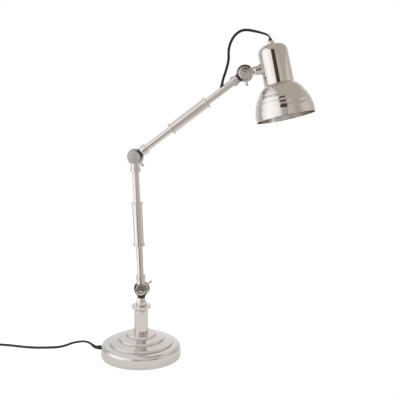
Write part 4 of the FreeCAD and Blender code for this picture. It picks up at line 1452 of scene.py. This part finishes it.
@dataclass
class HeadCord:
    """Flat twin cord that loops from the shade's gland down into the upper arm."""

    lobe_radius: float = 1.45 * MM
    lobe_sweep: float = 260.0
    lobe_steps: int = 8
    width: float = 5.4 * MM
    points_to_turn: int = 5

    def points(self) -> list[Point]:
        """The route, from the gland's bush to the arm's grommet.

        Returns:
            Its points, in metres.
        """
        places = [(246.42, 6.51, 646.14), (245.63, 6.93, 649.52), (242.5, 7, 652.5),
                  (234.5, 6.8, 655.5), (220, 6.2, 659), (203, 5.6, 662), (190, 5, 660.5),
                  (178.5, 4.4, 651.5), (171, 3.7, 638.5), (167, 3, 622.5), (168.5, 2.2, 604),
                  (162.5, 1.2, 580.5), (157.69, 0, 566.78), (156.59, 0, 557.85)]
        return [metres(*place) for place in places]

    def section(self) -> bpy.types.Object:
        """The cord's section: two round cores side by side with a web between them.

        Returns:
            A closed flat curve.
        """
        data = bpy.data.curves.new("twin_section", "CURVE")
        data.dimensions = "2D"
        centre = self.width / 2 - self.lobe_radius
        outline = []
        for side in (1, -1):
            for step in range(self.lobe_steps + 1):
                angle = math.radians(self.lobe_sweep * (step / self.lobe_steps - 0.5))
                outline.append((side * (centre + self.lobe_radius * math.cos(angle)),
                                side * self.lobe_radius * math.sin(angle)))
        spline = data.splines.new("POLY")
        spline.points.add(len(outline) - 1)
        for point, (x, y) in zip(spline.points, outline):
            point.co = (x, y, 0, 1)
        spline.use_cyclic_u = True
        return link_new("twin_section", data)

    def route(self) -> Route:
        """The cord's line, with its flat side turned sideways past the gland.

        Returns:
            The route with a tilt at each point.
        """
        points = self.points()
        tilts = [math.radians(90 * min(1.0, index / self.points_to_turn))
                 for index in range(len(points))]
        return Route("head_cord", points, tilts)

    def build(self, dresser: Dresser) -> None:
        """Make the cord in the loop cord's place and log its length.

        Args:
            dresser: Gives the cord its finish.
        """
        route = self.route()
        data = route.spline()
        section = self.section()
        data.bevel_mode = "OBJECT"
        data.bevel_object = section
        data.use_fill_caps = True
        cord = link_new("head_cord", data)
        select_only(cord)
        bpy.ops.object.convert(target="MESH")
        bpy.data.objects.remove(section)
        bpy.ops.object.shade_smooth_by_angle(angle=math.radians(CORD_SMOOTH))
        dresser.paint(cord, Slot.RUBBER)
        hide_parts("loop_cord")
        dresser.replaced.add("loop_cord")
        line = route.line()
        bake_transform(cord)
        route.length()
        LOG.info("head cord: %.3f m", route.length())


# ---------------------------------------------------------------- the lamp

def main() -> None:
    """Build the studio and the cords, then the lamp from its base to its head."""
    logging.basicConfig(level=logging.INFO, format="%(message)s")
    Studio().build()
    dresser = Dresser()
    MainsLead().build(dresser)
    HeadCord().build(dresser)
    SteppedBase().build(dresser)
    Post().build(dresser)
    # Only the lower knuckle gets the black rings of painted shade.
    lower = Knuckle("lower", POSE.lower, 54, eye="stem", washer="stem_bush", has_shade_rings=True)
    lower.build(dresser)
    Knuckle("elbow", POSE.elbow_back, 142, eye="elbow_eye", washer="elbow_bush").build(dresser)
    Knuckle("head", POSE.head, 168, eye="head_eye", washer="head_bush").build(dresser)
    SwingArm("lower_arm", POSE.lower, seat=6.5).build(dresser)
    SwingArm("upper_arm", POSE.upper, seat=2.0).build(dresser)
    Head(POSE.shade).build(dresser)
    dresser.dress_rest()


if __name__ == "__main__":
    main()
